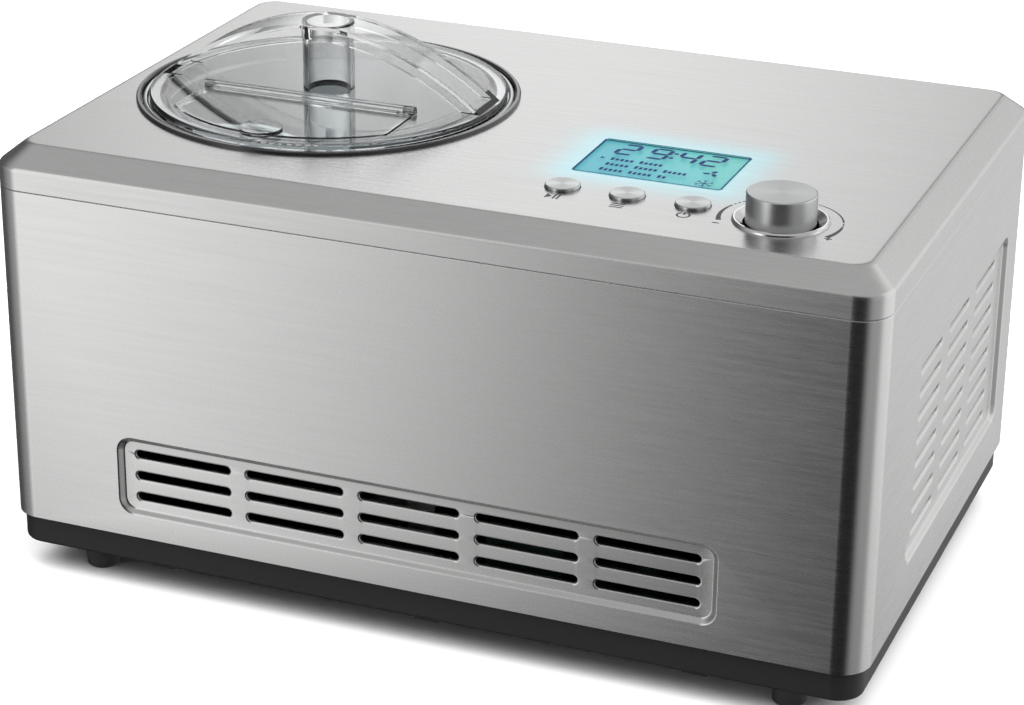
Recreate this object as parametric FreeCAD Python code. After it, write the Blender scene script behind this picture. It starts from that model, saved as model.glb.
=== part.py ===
"""Countertop ice cream maker with its own compressor.

Millimetres, +Z up, front face towards -Y.  The origin is the middle of the footprint, at the
height of the surface that the feet stand on.  Each function returns the solid of one piece, and
the table at the end names the nodes.  Cutters run past the faces that they open, mostly by 1 mm,
and parts that become one solid run into each other by about half of that.
"""
import FreeCAD
import Part
import math
import os

V = FreeCAD.Vector
UP = V(0, 0, 1)

# ---- housing -------------------------------------------------------------------------------
width = 425.0
depth = 279.0
corner_radius = 15.0
stand_height = 15.0          # table to the underside of the base tray
tray_band = 15.0             # part of the base tray that shows below the steel
shell_height = 166.5
cover_skirt = 10.7
chamfer_rise = 9.3
chamfer_run = 11.2
sheet = 1.0
edge_round = 1.6             # soft outer edges of the steel cover

z_tray = stand_height
z_shell = z_tray + tray_band
z_seam = z_shell + shell_height
z_skirt = z_seam + cover_skirt
z_top = z_skirt + chamfer_rise
right = width / 2
back = depth / 2
left = -right
front = -back

fit = 0.3                    # gap between pieces that move past each other
assembly_gap = 0.2           # gap between pieces that are put together once
bearing_gap = 0.05           # radial clearance of a shaft in its bearing

# ---- base tray and feet --------------------------------------------------------------------
tray_inset = 2.5
tray_wall = 2.5
tray_upstand = 12.0
tray_lip_round = 2.0
tray_floor = z_tray + tray_wall
nub_size = V(12.0, 3.0, 1.2)
nub_fractions = (-0.31, 0.012, 0.318)
foot_inset_x = 38.0
foot_inset_y = 22.0
foot_radius = 8.5
foot_taper = 0.8
foot_screw_radius = 1.8
foot_screw_head = 3.2
foot_screw_head_height = 2.5
foot_screw_above = 6.5       # screw above the floor of the tray
foot_recess_depth = 6.0
foot_recess_gap = 0.8
foot_edge = 1.2              # bevel around the underside of a foot
foot_boss_wall = 1.5
foot_boss_height = 8.0
driver_slot_width = 0.8
driver_slot_length = 6.0
driver_slot_depth = 0.9

# ---- vents ---------------------------------------------------------------------------------
vent_depth = 2.5
vent_border = 3.2
vent_corner = 8.0
slot_height = 6.0
slot_throat = 3.8
slot_lip_depth = 2.4
slot_lip_wall = 0.8
slot_flat = 0.01             # straight left between the two arcs of a slot's end
front_vent_centre = V(-3.0, 0, z_shell + 31.6)
front_vent_size = (297.0, 40.5)
front_slots = (5, 3)
front_slot_pitch = (57.5, 10.9)
front_slot_length = 51.0
side_vent_centre = V(0, 16.2, z_shell + 72.0)
side_vent_size = (180.0, 100.0)
side_slots = (3, 8)
side_slot_pitch = (52.3, 11.4)
side_slot_length = 41.0

# ---- bowl, collar and cooling chamber -------------------------------------------------------
bowl_from_left = 111.0
bowl_from_front = 134.0
bowl_x = left + bowl_from_left
bowl_y = front + bowl_from_front
bowl_inner = 81.5
bowl_wall = 1.5
bowl_depth = 108.0
bowl_floor_round = 10.0
rim_bead = 1.5
rim_land = 5.5
rim_drop = 0.9               # land of the rim below the flat top
bowl_outer = bowl_inner + bowl_wall
bead_centre = bowl_inner + rim_land + rim_bead
rim_outer = bead_centre + rim_bead
bowl_floor = z_top - bowl_depth
collar_wall = 1.0
collar_inner = rim_outer + 0.4
collar_outer = collar_inner + 2.6
collar_crown = 1.5
collar_sleeve = 14.0
collar_shoulder = rim_drop + rim_bead + fit
collar_shoulder_wall = 2.2
collar_foot_wall = 2.4
collar_edge = 0.3
collar_hole_gap = 0.4        # cover around the collar
crown_run = 0.7
crown_drop = 0.5
crown_draft = 0.1
chamber_gap = 1.0
chamber_wall = 1.5
chamber_inner = bowl_outer + chamber_gap
chamber_outer = chamber_inner + chamber_wall
chamber_flange = chamber_outer + 5.5
chamber_floor_gap = 1.5
chamber_top = z_top - collar_sleeve
chamber_floor = bowl_floor - bowl_wall - chamber_floor_gap
coil_tube = 3.1
coil_turns = 7
coil_pitch = 11.0
coil_radius = chamber_outer + coil_tube + assembly_gap
coil_rise = coil_pitch * (coil_turns + 0.5)
coil_bottom = chamber_floor + 8.0
coil_exit = 8.0
lead_channel = 1.6           # foam around the coil's leads
sensor_radius = 2.5
sensor_length = 22.0
sensor_collar_wall = 0.8
sensor_collar_length = 5.0
sensor_gap = 1.0             # coil to the tip of the sensor
sensor_channel = 1.5
sensor_z = coil_bottom + coil_pitch * 1.25
foam_wall = 12.0
foam_corner = 14.0
foam_clearance = 0.5
foam_under = 20.0
foam_half = coil_radius + coil_tube + foam_wall
foam_top = chamber_top - chamber_wall - assembly_gap
foam_bottom = chamber_floor - chamber_wall - foam_under
foam_right = bowl_x + foam_half
sensor_x = bowl_x + coil_radius + coil_tube + sensor_gap

# ---- drive ---------------------------------------------------------------------------------
shaft_radius = 4.5
shaft_square = 6.2
shaft_square_length = 15.0
bushing_wall = 2.0
chamber_hub_wall = 1.5
bowl_hub_wall = 1.5
hub_height = 44.0            # chamber floor to the top of its hub
paddle_hub_wall = 2.0
bushing_outer = shaft_radius + bearing_gap + bushing_wall
chamber_hub_outer = bushing_outer + chamber_hub_wall
bowl_hub_inner = chamber_hub_outer + 0.8
bowl_hub_outer = bowl_hub_inner + bowl_hub_wall
paddle_hub_inner = bowl_hub_outer + 1.0
paddle_hub_outer = paddle_hub_inner + paddle_hub_wall
hub_top = chamber_floor + hub_height
bowl_hub_top = hub_top + 3.0
bushing_low_length = 5.0
bushing_high_length = 10.0
bushing_recess = 1.0         # lower bushing below the gearbox's inner floor
seal_height = 4.0
seal_lip = 0.9
frame_plate = 2.0
frame_inset = 1.0
frame_hole_gap = 2.0
frame_leg = 14.0
frame_leg_wall = 1.5
frame_leg_inset = 14.0
gear_module = 1.0
gear_pressure_deg = 25.0
gear_backlash = 0.16
gear_addendum = 0.95
gear_dedendum = 1.2
output_teeth = 64
compound_small_teeth = 16
compound_large_teeth = 56
pinion_teeth = 14
gear_face = 8.0
pinion_face = 6.0
pinion_margin = 0.5
output_hub_wall = 5.0
output_hub_above = 2.0
compound_hub_wall = 3.0
compound_above = 1.0
gear_floor_gap = 1.5         # gearbox floor to the lower gears
gear_stack_gap = 2.0         # lower gears to the upper ones
gear_side_gap = 1.5
pinion_side_gap = 4.5
axle_radius = 3.0
axle_seat = 1.5
rotor_radius = 2.5
gearbox_wall = 2.5
gearbox_inside = 21.0
gearbox_corner = 12.0
gearbox_bushing_wall = 1.6
gearbox_screw_radius = 1.6
gearbox_screw_length = 12.0
gearbox_screw_inset = 7.0
gearbox_boss = 3.5
gearbox_shaft_gap = 1.0
gearbox_rotor_gap = 2.0
compound_angle_deg = 0.0     # direction of the intermediate axle from the output shaft
motor_angle_deg = -60.0      # direction of the motor from the intermediate axle
motor_radius = 26.0
motor_wall = 2.0
motor_round = 2.0
magnet_wall = 5.0
magnet_end_gap = 3.0
armature_gap = 0.8
armature_end_gap = 4.0
armature_slots = 5
armature_slot_radius = 2.2
z_frame = foam_bottom - frame_plate
z_gearbox_top = z_frame - assembly_gap
z_gear_floor = z_gearbox_top - gearbox_wall - gearbox_inside
z_gearbox_bottom = z_gear_floor - gearbox_wall
z_motor_bottom = tray_floor + 3.0
z_lower_gears = z_gear_floor + gear_floor_gap
z_upper_gears = z_lower_gears + pinion_face + gear_stack_gap
compound_distance = gear_module * (output_teeth + compound_small_teeth) / 2
motor_distance = gear_module * (compound_large_teeth + pinion_teeth) / 2
compound_turn = math.radians(compound_angle_deg)
motor_turn = math.radians(motor_angle_deg)
output_axis = V(bowl_x, bowl_y, 0)
compound_axis = output_axis + V(math.cos(compound_turn), math.sin(compound_turn), 0) * compound_distance
motor_axis = compound_axis + V(math.cos(motor_turn), math.sin(motor_turn), 0) * motor_distance

# ---- lid, hatch and paddle -----------------------------------------------------------------
lid_outer = bowl_inner + rim_land - 0.4
lid_plate_top = 3.2          # above the flat top
lid_plate = 3.0
lid_edge_round = 1.2
lid_headroom = 60.0          # more than the lid rises above the flat top
lid_spigot_wall = 2.5
lid_spigot_depth = 9.0
lid_spigot_outer = bowl_inner - 0.6
bridge_depth = 25.0
bridge_rise = 33.5           # crown of the bridge above the lid plate
bridge_half = 84.0
bridge_band = 7.0
bridge_skin = 2.5
bridge_foot = 10.0           # solid foot of the arch
bridge_channel_foot = 4.0
post_outer = 12.5
post_inner = 10.3
post_roof = 2.5
post_below = 28.0            # the post reaches this far below the flat top
hatch_half = 55.0
hatch_back = -24.5
hatch_round = 78.0
hatch_thickness = 2.0
hatch_ledge = 3.0
hatch_ledge_thickness = 1.2
hatch_corner = 4.0
hatch_side_gap = 0.4
hatch_web_inset = 2.0
hatch_web_depth = 3.0
hatch_tab_radius = 10.0
hatch_tab_y = -74.0
hatch_tab_lift = 0.5
hatch_tab_thickness = 2.0
tab_root_radius = 7.0
tab_root_shift = 5.0
hinge_radius = 1.0
hinge_barrel = 2.3
hinge_slot_gap = 0.5
hinge_half = 50.0
hinge_ear = 5.0
hinge_height = lid_plate_top + 1.2
hinge_y = hatch_back + hinge_barrel
paddle_reach = bowl_inner - 2.5
paddle_blade = 3.0
paddle_height = 78.0
paddle_bow = 0.16            # bow of a blade as a share of its length
paddle_floor_gap = 1.7
paddle_windows = ((0.16, 0.39), (0.56, 0.79))  # start and end, as shares of a blade's length
paddle_window_margin = 14.0
paddle_roof = 4.0            # solid above the square socket
paddle_stem_wall = 2.0
paddle_top_gap = 4.0
paddle_pin = post_inner - 0.7
paddle_bottom = bowl_floor + paddle_floor_gap

# ---- controls ------------------------------------------------------------------------------
display_centre = V(right - 131.6, front + 99.5, 0)
display_size = (71.0, 48.0)
display_corner = 2.5
window_thickness = sheet + 0.1
window_gap = 0.1             # window to the module below
module_corner = 1.0
backlight_border = 0.75
backlight_stand = 3.0        # backlight above the board
button_radius = 8.0
button_round = 0.6
button_rise = 1.6
button_travel = 0.8
button_flange = 9.3
button_flange_thickness = 1.3
button_first_x = right - 162.5
button_pitch = 30.4
button_y = front + 53.5
button_stem = 2.4
button_tip = 1.6
button_tip_length = 1.8
switch_size = 10.0
switch_height = 3.6
switch_recess = 2.2
switch_gap = 1.2             # stem above the switch
button_names = ("start_button", "menu_button", "power_button")
knob_centre = V(right - 61.0, front + 50.6, 0)
knob_radius = 15.5
knob_rise = 13.0
knob_drop = 1.0
knob_wall = 1.6
knob_round = 0.8
knob_roof = 2.0
knob_boss_wall = 2.2
knob_boss_drop = 1.5         # boss above the knob's lower edge
bezel_outer = 21.5
bezel_inner = 16.6
bezel_crown = 1.3
bezel_sleeve = 3.2
bezel_sleeve_outer = bezel_outer - 2.7
encoder_shaft_radius = 3.0
encoder_shaft_reach = 10.0   # shaft above the flat top
encoder_size = 13.0
encoder_height = 7.0
encoder_bushing_wall = 1.6
encoder_floor = 4.0
carrier_front = front + 25.0
carrier_back = display_centre.y + display_size[1] / 2 + 10.0
carrier_left = button_first_x - 16.0
carrier_right = knob_centre.x + bezel_outer + 6.0
carrier_thickness = 2.0
carrier_corner = 4.0
carrier_gap = 0.3
carrier_drop = 2.2           # carrier below the underside of the cover
board_drop = 12.1            # control board below the underside of the cover
board_thickness = 1.6
pillar_radius = 3.5
carrier_screw_radius = 1.4
carrier_screw_head = 2.7
carrier_screw_head_height = 1.8
carrier_screw_length = 7.0
carrier_screw_inset = 5.0
board_corner = 3.0
chip_size = V(18.0, 18.0, 2.2)
connector_size = V(16.0, 8.0, 6.0)
connector_offset = V(26.0, 0, 0)
underside = z_top - sheet
carrier_top = underside - carrier_drop
carrier_low = carrier_top - carrier_thickness
board_top = underside - board_drop
board_low = board_top - board_thickness
power_board_size = V(110.0, 62.0, 1.6)
power_board_low = V(foam_right + 16.0, front + 14.0, tray_floor + 8.0)
power_board_stand = 3.0
transformer = (V(8.0, 10.0, 0), V(38.0, 38.0, 30.0))   # place on the board, size
relay = (V(54.0, 8.0, 0), V(18.0, 28.0, 16.0))
capacitors = ((V(86.0, 18.0, 0), 8.0, 28.0), (V(88.0, 42.0, 0), 6.0, 20.0))   # place, radius, height

# ---- refrigeration -------------------------------------------------------------------------
compressor_radius = 52.0
compressor_gap = 12.0        # compressor flange to the foam block
compressor_y = bowl_y + coil_radius - 19.3   # in front of the evaporator's rear lead
compressor_seat = tray_floor + 13.0
compressor_height = 118.0
compressor_flange = 3.0
compressor_x = foam_right + compressor_gap + compressor_radius + compressor_flange
compressor_waist = 0.52      # height of the welded flange, as a share of the can's
compressor_foot = 3.0
compressor_foot_margin = 10.0
compressor_foot_corner = 12.0
mount_spread = 45.0
mount_stud = 3.0
mount_stud_above = 6.0       # stud above the compressor's foot plate
mount_boss_wall = 2.0
mount_boss_height = 3.0
mount_gap = 0.1
mount_grommet = 9.0
mount_grommet_top = 8.0
mount_grommet_neck = 5.5
mount_nut_radius = 7.0
mount_nut_height = 4.0
terminal_box_half = 20.0
terminal_box_reach = 16.0    # in front of the can
terminal_box_grip = 14.0     # behind the front of the can
terminal_box_low = 22.0
terminal_box_height = 30.0
terminal_box_round = 3.0
nipple_radius = 4.2
nipple_height = 8.0
line_radius = 3.1
line_fit = 0.05
line_seat = 2.0              # start of a line inside its nipple
line_rise = 20.0
line_bend = 7.0
nipple_spread = 18.0
condenser_gap = 8.0          # condenser to the right wall
condenser_depth = 36.0
condenser_length = 150.0
condenser_rows = 6
row_pitch = 20.0
fin_pitch = 7.5
fin_thickness = 0.5
end_plate_thickness = 1.2
end_plate_foot = 10.0
tube_overhang = 3.0          # tube past an end plate, before its bend
tube_stub = 12.0             # tube past the end plate where it starts and ends
condenser_tube_radius = 3.5
condenser_right = right - sheet - condenser_gap
condenser_left = condenser_right - condenser_depth
condenser_y = side_vent_centre.y
condenser_bottom = tray_floor + 10.0
condenser_height = row_pitch * condenser_rows
column_near = condenser_left + condenser_depth / 4
column_far = condenser_right - condenser_depth / 4
fan_size = 92.0
fan_thickness = 25.0
fan_bore = 43.5
fan_hub = 17.0
fan_cup_wall = 2.5
fan_blade_tip = 42.0
fan_blades = 7
fan_blade_root = (48.0, 20.0)   # pitch in degrees and chord
fan_blade_end = (28.0, 27.0)
fan_blade_thickness = 1.6
fan_pin = 1.5
fan_corner = 5.0
fan_hole_inset = 8.0
fan_hole = 2.2
fan_spoke_half = 2.0
fan_spokes = 3
fan_spoke_depth = 3.0
fan_foot_half = 20.0
fan_foot_wall = 4.0
fan_end_gap = 2.0
fan_stator_gap = 0.8
fan_gap = 5.0
fan_right = condenser_left - fan_gap
fan_left = fan_right - fan_thickness
fan_z = condenser_bottom + condenser_height / 2
drier_radius = 9.0
drier_length = 70.0
drier_neck = 6.0
drier_taper = 14.0
drier_seat = 5.0
drier_x = condenser_left - 18.0
drier_y = condenser_y + condenser_length / 2 + 30.0
drier_top = 140.0
capillary_radius = 1.2
capillary_lane = back - 16.0
capillary_drop = 22.0
capillary_bend = 5.0
suction_bend = 8.0

# ---- rear panel ----------------------------------------------------------------------------
rear_overlap = 14.0          # rear panel behind each return of the shell
rear_return = corner_radius + rear_overlap
rear_gap = 0.1
gland_cup_radius = 17.0
gland_cup_depth = 4.0
gland_x = right - 62.0
gland_z = z_shell + tray_upstand + gland_cup_radius + sheet + 3.0
gland_radius = 8.0
gland_flange = 11.5
gland_bore = 3.7
rear_screw_radius = 1.9
rear_screw_head = 3.7
rear_screw_length = 6.0
rear_screw_gap = 0.1
rear_screw_end = 16.0        # outer screws to the ends of the return
rear_slot_length = 4.4
rear_slot_depth = 0.5
rear_panel_end_gap = 0.5
gland_flange_thickness = 2.5
gland_nut = 4.0


# ---- helpers -------------------------------------------------------------------------------
def box(low, high):
    """Box between two corners."""
    return Part.makeBox(high.x - low.x, high.y - low.y, high.z - low.z, low)


def rod(radius, low, high, x=0.0, y=0.0):
    """Upright cylinder."""
    return Part.makeCylinder(radius, high - low, V(x, y, low), UP)


def ring(outer, inner, low, high, x=0.0, y=0.0):
    """Upright tube."""
    return rod(outer, low, high, x, y).cut(rod(inner, low - 1, high + 1, x, y))


def rod_x(radius, low, high, y, z):
    """Cylinder along X."""
    return Part.makeCylinder(radius, high - low, V(low, y, z), V(1, 0, 0))


def rod_y(radius, low, high, x, z):
    """Cylinder along Y."""
    return Part.makeCylinder(radius, high - low, V(x, low, z), V(0, 1, 0))


def rounded_wire(centre, size_x, size_y, radius, z):
    """Rounded rectangle at height z."""
    x0 = centre.x - size_x / 2
    x1 = centre.x + size_x / 2
    y0 = centre.y - size_y / 2
    y1 = centre.y + size_y / 2
    reach = radius * (1 - math.sqrt(0.5))
    corners = (
        (V(x1 - radius, y0, z), V(x1 - reach, y0 + reach, z), V(x1, y0 + radius, z)),
        (V(x1, y1 - radius, z), V(x1 - reach, y1 - reach, z), V(x1 - radius, y1, z)),
        (V(x0 + radius, y1, z), V(x0 + reach, y1 - reach, z), V(x0, y1 - radius, z)),
        (V(x0, y0 + radius, z), V(x0 + reach, y0 + reach, z), V(x0 + radius, y0, z)),
    )
    edges = []
    for index, (start, middle, end) in enumerate(corners):
        before = corners[index - 1][2]
        if before.distanceToPoint(start) > 1e-6:
            edges.append(Part.makeLine(before, start))
        edges.append(Part.Arc(start, middle, end).toShape())
    return Part.Wire(edges)


def plate(centre, size_x, size_y, radius, low, high):
    """Rounded rectangular plate."""
    face = Part.Face(rounded_wire(centre, size_x, size_y, radius, low))
    return face.extrude(V(0, 0, high - low))


def frustum(centre, low_size, low_radius, low, high_size, high_radius, high):
    """Solid between two rounded rectangles at different heights."""
    wires = [
        rounded_wire(centre, low_size[0], low_size[1], low_radius, low),
        rounded_wire(centre, high_size[0], high_size[1], high_radius, high),
    ]
    return Part.makeLoft(wires, True, True)


def turned(profile, x, y):
    """Solid of revolution about an upright axis, from (radius, height) points."""
    points = [V(radius, 0, height) for radius, height in profile]
    face = Part.Face(Part.makePolygon(points + [points[0]]))
    solid = face.revolve(V(0, 0, 0), UP, 360)
    solid.translate(V(x, y, 0))
    return solid


def torus(major, minor, z, x, y):
    """Upright ring of round section."""
    return Part.makeTorus(major, minor, V(x, y, z), UP)


def pipe(points, radius, bend):
    """Round rod or tube along straight runs joined by arcs of one bend radius."""
    edges = []
    start = points[0]
    for before, corner, after in zip(points, points[1:], points[2:]):
        towards = (before - corner).normalize()
        away = (after - corner).normalize()
        half = towards.getAngle(away) / 2
        cut = bend / math.tan(half)
        middle_way = (towards + away).normalize()
        centre = corner + middle_way * (bend / math.sin(half))
        arc_start = corner + towards * cut
        arc_end = corner + away * cut
        if start.distanceToPoint(arc_start) > 1e-6:
            edges.append(Part.makeLine(start, arc_start))
        edges.append(Part.Arc(arc_start, centre - middle_way * bend, arc_end).toShape())
        start = arc_end
    edges.append(Part.makeLine(start, points[-1]))
    direction = (points[1] - points[0]).normalize()
    profile = Part.Wire([Part.makeCircle(radius, points[0], direction)])
    return Part.Wire(edges).makePipeShell([profile], True, False)


def joined(shapes):
    """One solid from touching or overlapping shapes."""
    return shapes[0].multiFuse(shapes[1:]).removeSplitter()


def group(shapes):
    """Separate solids kept together as one node."""
    return Part.makeCompound(shapes)


def corners(span_x, span_y, x=0.0, y=0.0):
    """Four points of a rectangle."""
    return [V(x + i * span_x, y + j * span_y, 0) for i in (-1, 1) for j in (-1, 1)]


def polar(radius, angle_deg):
    """Point at an angle in the XY plane."""
    angle = math.radians(angle_deg)
    return V(radius * math.cos(angle), radius * math.sin(angle), 0)


# ---- housing pieces --------------------------------------------------------------------------
def foot_places():
    """Middles of the four feet."""
    return corners(right - foot_inset_x, back - foot_inset_y)


def base_tray():
    """Black moulded tray with an upstand inside the steel and a rounded lower lip."""
    centre = V(0, 0, 0)
    size = (width - 2 * tray_inset, depth - 2 * tray_inset)
    radius = corner_radius - tray_inset
    outer = plate(centre, size[0], size[1], radius, z_tray, z_shell + tray_upstand)
    low_edges = [edge for edge in outer.Edges if edge.BoundBox.ZMax < z_tray + 0.01]
    outer = outer.makeFillet(tray_lip_round, low_edges)
    hollow = plate(centre, size[0] - 2 * tray_wall, size[1] - 2 * tray_wall, radius - tray_wall,
                   tray_floor, z_shell + tray_upstand + 1)
    tray = outer.cut(hollow)
    extras = []
    for fraction in nub_fractions:
        low = V(fraction * width - nub_size.x / 2, front + tray_inset + tray_lip_round, z_tray - nub_size.z)
        extras.append(box(low, low + V(nub_size.x, nub_size.y, nub_size.z + 0.5)))
    for place in foot_places():
        extras.append(rod(foot_screw_head + foot_boss_wall, tray_floor - 0.5, tray_floor + foot_boss_height,
                          place.x, place.y))
    for place in mount_places():
        extras.append(rod(mount_stud + mount_boss_wall, tray_floor - 0.5, tray_floor + mount_boss_height,
                          place.x, place.y))
        extras.append(rod(mount_stud, tray_floor, compressor_seat + mount_stud_above, place.x, place.y))
    tray = joined([tray] + extras)
    holes = [rod(foot_screw_radius, z_tray - 1, tray_floor + foot_screw_above + 0.5, place.x, place.y)
             for place in foot_places()]
    return tray.cut(holes)


def foot_profile():
    """Half section of a foot, hollow below for its screw."""
    low = foot_radius - foot_taper
    recess = foot_screw_head + foot_recess_gap
    return [
        (foot_screw_radius, z_tray), (foot_radius, z_tray), (low, foot_edge), (low - foot_edge, 0.0),
        (recess, 0.0), (recess, foot_recess_depth), (foot_screw_radius, foot_recess_depth),
    ]


def feet():
    """Four rubber feet."""
    return group([turned(foot_profile(), place.x, place.y) for place in foot_places()])


def foot_screws():
    """Screw in each foot, its head sunk in the rubber."""
    screws = []
    low = foot_recess_depth - foot_screw_head_height
    reach = V(driver_slot_length / 2, driver_slot_width / 2, 0)
    for place in foot_places():
        shank = rod(foot_screw_radius, foot_recess_depth - 0.5, tray_floor + foot_screw_above,
                    place.x, place.y)
        head = rod(foot_screw_head, low, foot_recess_depth, place.x, place.y)
        slot = box(place - reach + V(0, 0, low - 1), place + reach + V(0, 0, low + driver_slot_depth))
        screws.append(head.fuse(shank).cut(slot).removeSplitter())
    return group(screws)


def vent_local(size, slots, pitch, length):
    """Recessed vent drawn flat: face at Z = 0, inward along +Z.

    Returns the opening to cut from the sheet and the pan, with its lipped slots, to add.
    """
    origin = V(0, 0, 0)
    inner = (size[0] - 2 * vent_border, size[1] - 2 * vent_border)
    opening = frustum(origin, size, vent_corner, 0, inner, vent_corner - vent_border, vent_depth)
    above = plate(origin, size[0], size[1], vent_corner, -1, 0)
    body = frustum(origin, (size[0] + 2 * sheet, size[1] + 2 * sheet), vent_corner + sheet, 0,
                   (inner[0] + 2 * sheet, inner[1] + 2 * sheet), vent_corner - vent_border + sheet,
                   vent_depth + sheet)
    lips = []
    throats = []
    for column in range(slots[0]):
        for row in range(slots[1]):
            middle = V((column - (slots[0] - 1) / 2) * pitch[0], (row - (slots[1] - 1) / 2) * pitch[1], 0)
            throat_length = length - (slot_height - slot_throat)
            deep = vent_depth + slot_lip_depth
            lips.append(frustum(middle, (length + 2 * slot_lip_wall, slot_height + 2 * slot_lip_wall),
                                slot_height / 2 + slot_lip_wall - slot_flat, vent_depth,
                                (throat_length + 2 * slot_lip_wall, slot_throat + 2 * slot_lip_wall),
                                slot_throat / 2 + slot_lip_wall - slot_flat, deep))
            throats.append(frustum(middle, (length, slot_height), slot_height / 2 - slot_flat, vent_depth,
                                   (throat_length, slot_throat), slot_throat / 2 - slot_flat, deep))
    pan = body.cut(opening).multiFuse(lips).cut(throats)
    return opening.fuse(above), pan


def vent_placement(on_side):
    """Turns a flat vent to the front face, or to the right-hand face."""
    if on_side:
        rotation = FreeCAD.Rotation(V(0, 1, 0), V(0, 0, 1), V(-1, 0, 0), "ZXY")
        return FreeCAD.Placement(V(right, side_vent_centre.y, side_vent_centre.z), rotation)
    rotation = FreeCAD.Rotation(V(1, 0, 0), V(0, 0, 1), V(0, 1, 0), "ZXY")
    return FreeCAD.Placement(V(front_vent_centre.x, front, front_vent_centre.z), rotation)


def body_shell():
    """Brushed steel wrap: front, both sides and two rear returns, with both vents."""
    centre = V(0, 0, 0)
    outer = plate(centre, width, depth, corner_radius, z_shell, z_seam)
    inner = plate(centre, width - 2 * sheet, depth - 2 * sheet, corner_radius - sheet,
                  z_shell - 1, z_seam + 1)
    open_back = box(V(left + rear_return, back - 2 * sheet, z_shell - 1),
                    V(right - rear_return, back + 1, z_seam + 1))
    shell = outer.cut([inner, open_back])
    vents = (
        (front_vent_size, front_slots, front_slot_pitch, front_slot_length, False),
        (side_vent_size, side_slots, side_slot_pitch, side_slot_length, True),
    )
    for size, slots, pitch, length, on_side in vents:
        opening, pan = vent_local(size, slots, pitch, length)
        opening.Placement = vent_placement(on_side)
        pan.Placement = vent_placement(on_side)
        shell = shell.cut(opening).fuse(pan)
    return shell.removeSplitter()


def rear_screw_places():
    """Middles of the rear panel's screws, as X and Z."""
    inset = corner_radius + rear_overlap / 2
    return [V(x, 0, z) for x in (left + inset, right - inset)
            for z in (z_shell + rear_screw_end, (z_shell + z_seam) / 2, z_seam - rear_screw_end)]


def rear_panel():
    """Flat steel rear panel behind the shell's returns, with a cup around the cord's way in."""
    outer_y = back - sheet - rear_gap
    span = right - corner_radius
    panel = box(V(-span, outer_y - sheet, z_shell + rear_panel_end_gap),
                V(span, outer_y, z_seam - rear_panel_end_gap))
    cup = rod_y(gland_cup_radius + sheet, outer_y - gland_cup_depth - sheet, outer_y, gland_x, gland_z)
    dish = rod_y(gland_cup_radius, outer_y - gland_cup_depth, outer_y + 1, gland_x, gland_z)
    hole = rod_y(gland_radius + assembly_gap / 2, outer_y - 3 * gland_cup_depth, outer_y, gland_x, gland_z)
    holes = [rod_y(rear_screw_radius + rear_screw_gap, outer_y - sheet - 1, outer_y + 1, place.x, place.z)
             for place in rear_screw_places()]
    return panel.fuse(cup).cut([dish, hole] + holes).removeSplitter()


def screw_head(place, grow):
    """Countersunk head as deep as the sheet, level with the rear face."""
    return Part.makeCone(rear_screw_radius + grow, rear_screw_head + grow, sheet,
                         V(place.x, back - sheet, place.z), V(0, 1, 0))


def drilled_shell():
    """The shell with countersunk holes for the rear screws."""
    return body_shell().cut([screw_head(place, rear_screw_gap) for place in rear_screw_places()])


def rear_screws():
    """Countersunk screws in the rear returns."""
    screws = []
    for place in rear_screw_places():
        shank = rod_y(rear_screw_radius, back - rear_screw_length, back - sheet, place.x, place.z)
        reach = V(rear_slot_length / 2, 0, driver_slot_width / 2)
        cross = box(place - reach + V(0, back - rear_slot_depth, 0), place + reach + V(0, back + 1, 0))
        screws.append(screw_head(place, 0).fuse(shank).cut(cross).removeSplitter())
    return group(screws)


def cord_gland():
    """Black gland that the mains cord would enter through."""
    face = back - sheet - rear_gap - gland_cup_depth
    flange = rod_y(gland_flange, face, face + gland_flange_thickness, gland_x, gland_z)
    barrel = rod_y(gland_radius, face - sheet, face, gland_x, gland_z)
    nut = rod_y(gland_flange, face - sheet - gland_nut, face - sheet, gland_x, gland_z)
    bore = rod_y(gland_bore, face - sheet - gland_nut - 1, face + gland_flange_thickness + 1,
                 gland_x, gland_z)
    return joined([flange, barrel, nut]).cut(bore)


def top_cover():
    """Brushed steel cover: skirt, sloped border, flat top, with its openings."""
    centre = V(0, 0, 0)
    top_radius = corner_radius - chamfer_run / 2
    skirt = plate(centre, width, depth, corner_radius, z_seam, z_skirt)
    slope = frustum(centre, (width, depth), corner_radius, z_skirt,
                    (width - 2 * chamfer_run, depth - 2 * chamfer_run), top_radius, z_top)
    outer = skirt.fuse(slope).removeSplitter()
    soft = [edge for edge in outer.Edges
            if edge.BoundBox.ZMin > z_skirt - 0.01 and edge.BoundBox.ZLength < 0.01]
    outer = outer.makeFillet(edge_round, soft)
    hollow_skirt = plate(centre, width - 2 * sheet, depth - 2 * sheet, corner_radius - sheet,
                         z_seam - 1, z_skirt - sheet / 2)
    hollow_slope = frustum(centre, (width - 2 * sheet, depth - 2 * sheet), corner_radius - sheet,
                           z_skirt - sheet / 2,
                           (width - 2 * chamfer_run - sheet, depth - 2 * chamfer_run - sheet),
                           top_radius - sheet / 2, z_top - sheet)
    low = underside - 1
    high = z_top + 1
    openings = [
        hollow_skirt, hollow_slope,
        rod(collar_inner + collar_wall + collar_hole_gap, low, high, bowl_x, bowl_y),
        plate(display_centre, display_size[0] + assembly_gap, display_size[1] + assembly_gap,
              display_corner, low, high),
        rod(bezel_sleeve_outer + assembly_gap, low, high, knob_centre.x, knob_centre.y),
    ]
    for place in button_places():
        openings.append(rod(button_radius + fit, low, high, place.x, place.y))
    return outer.cut(openings)


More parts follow.
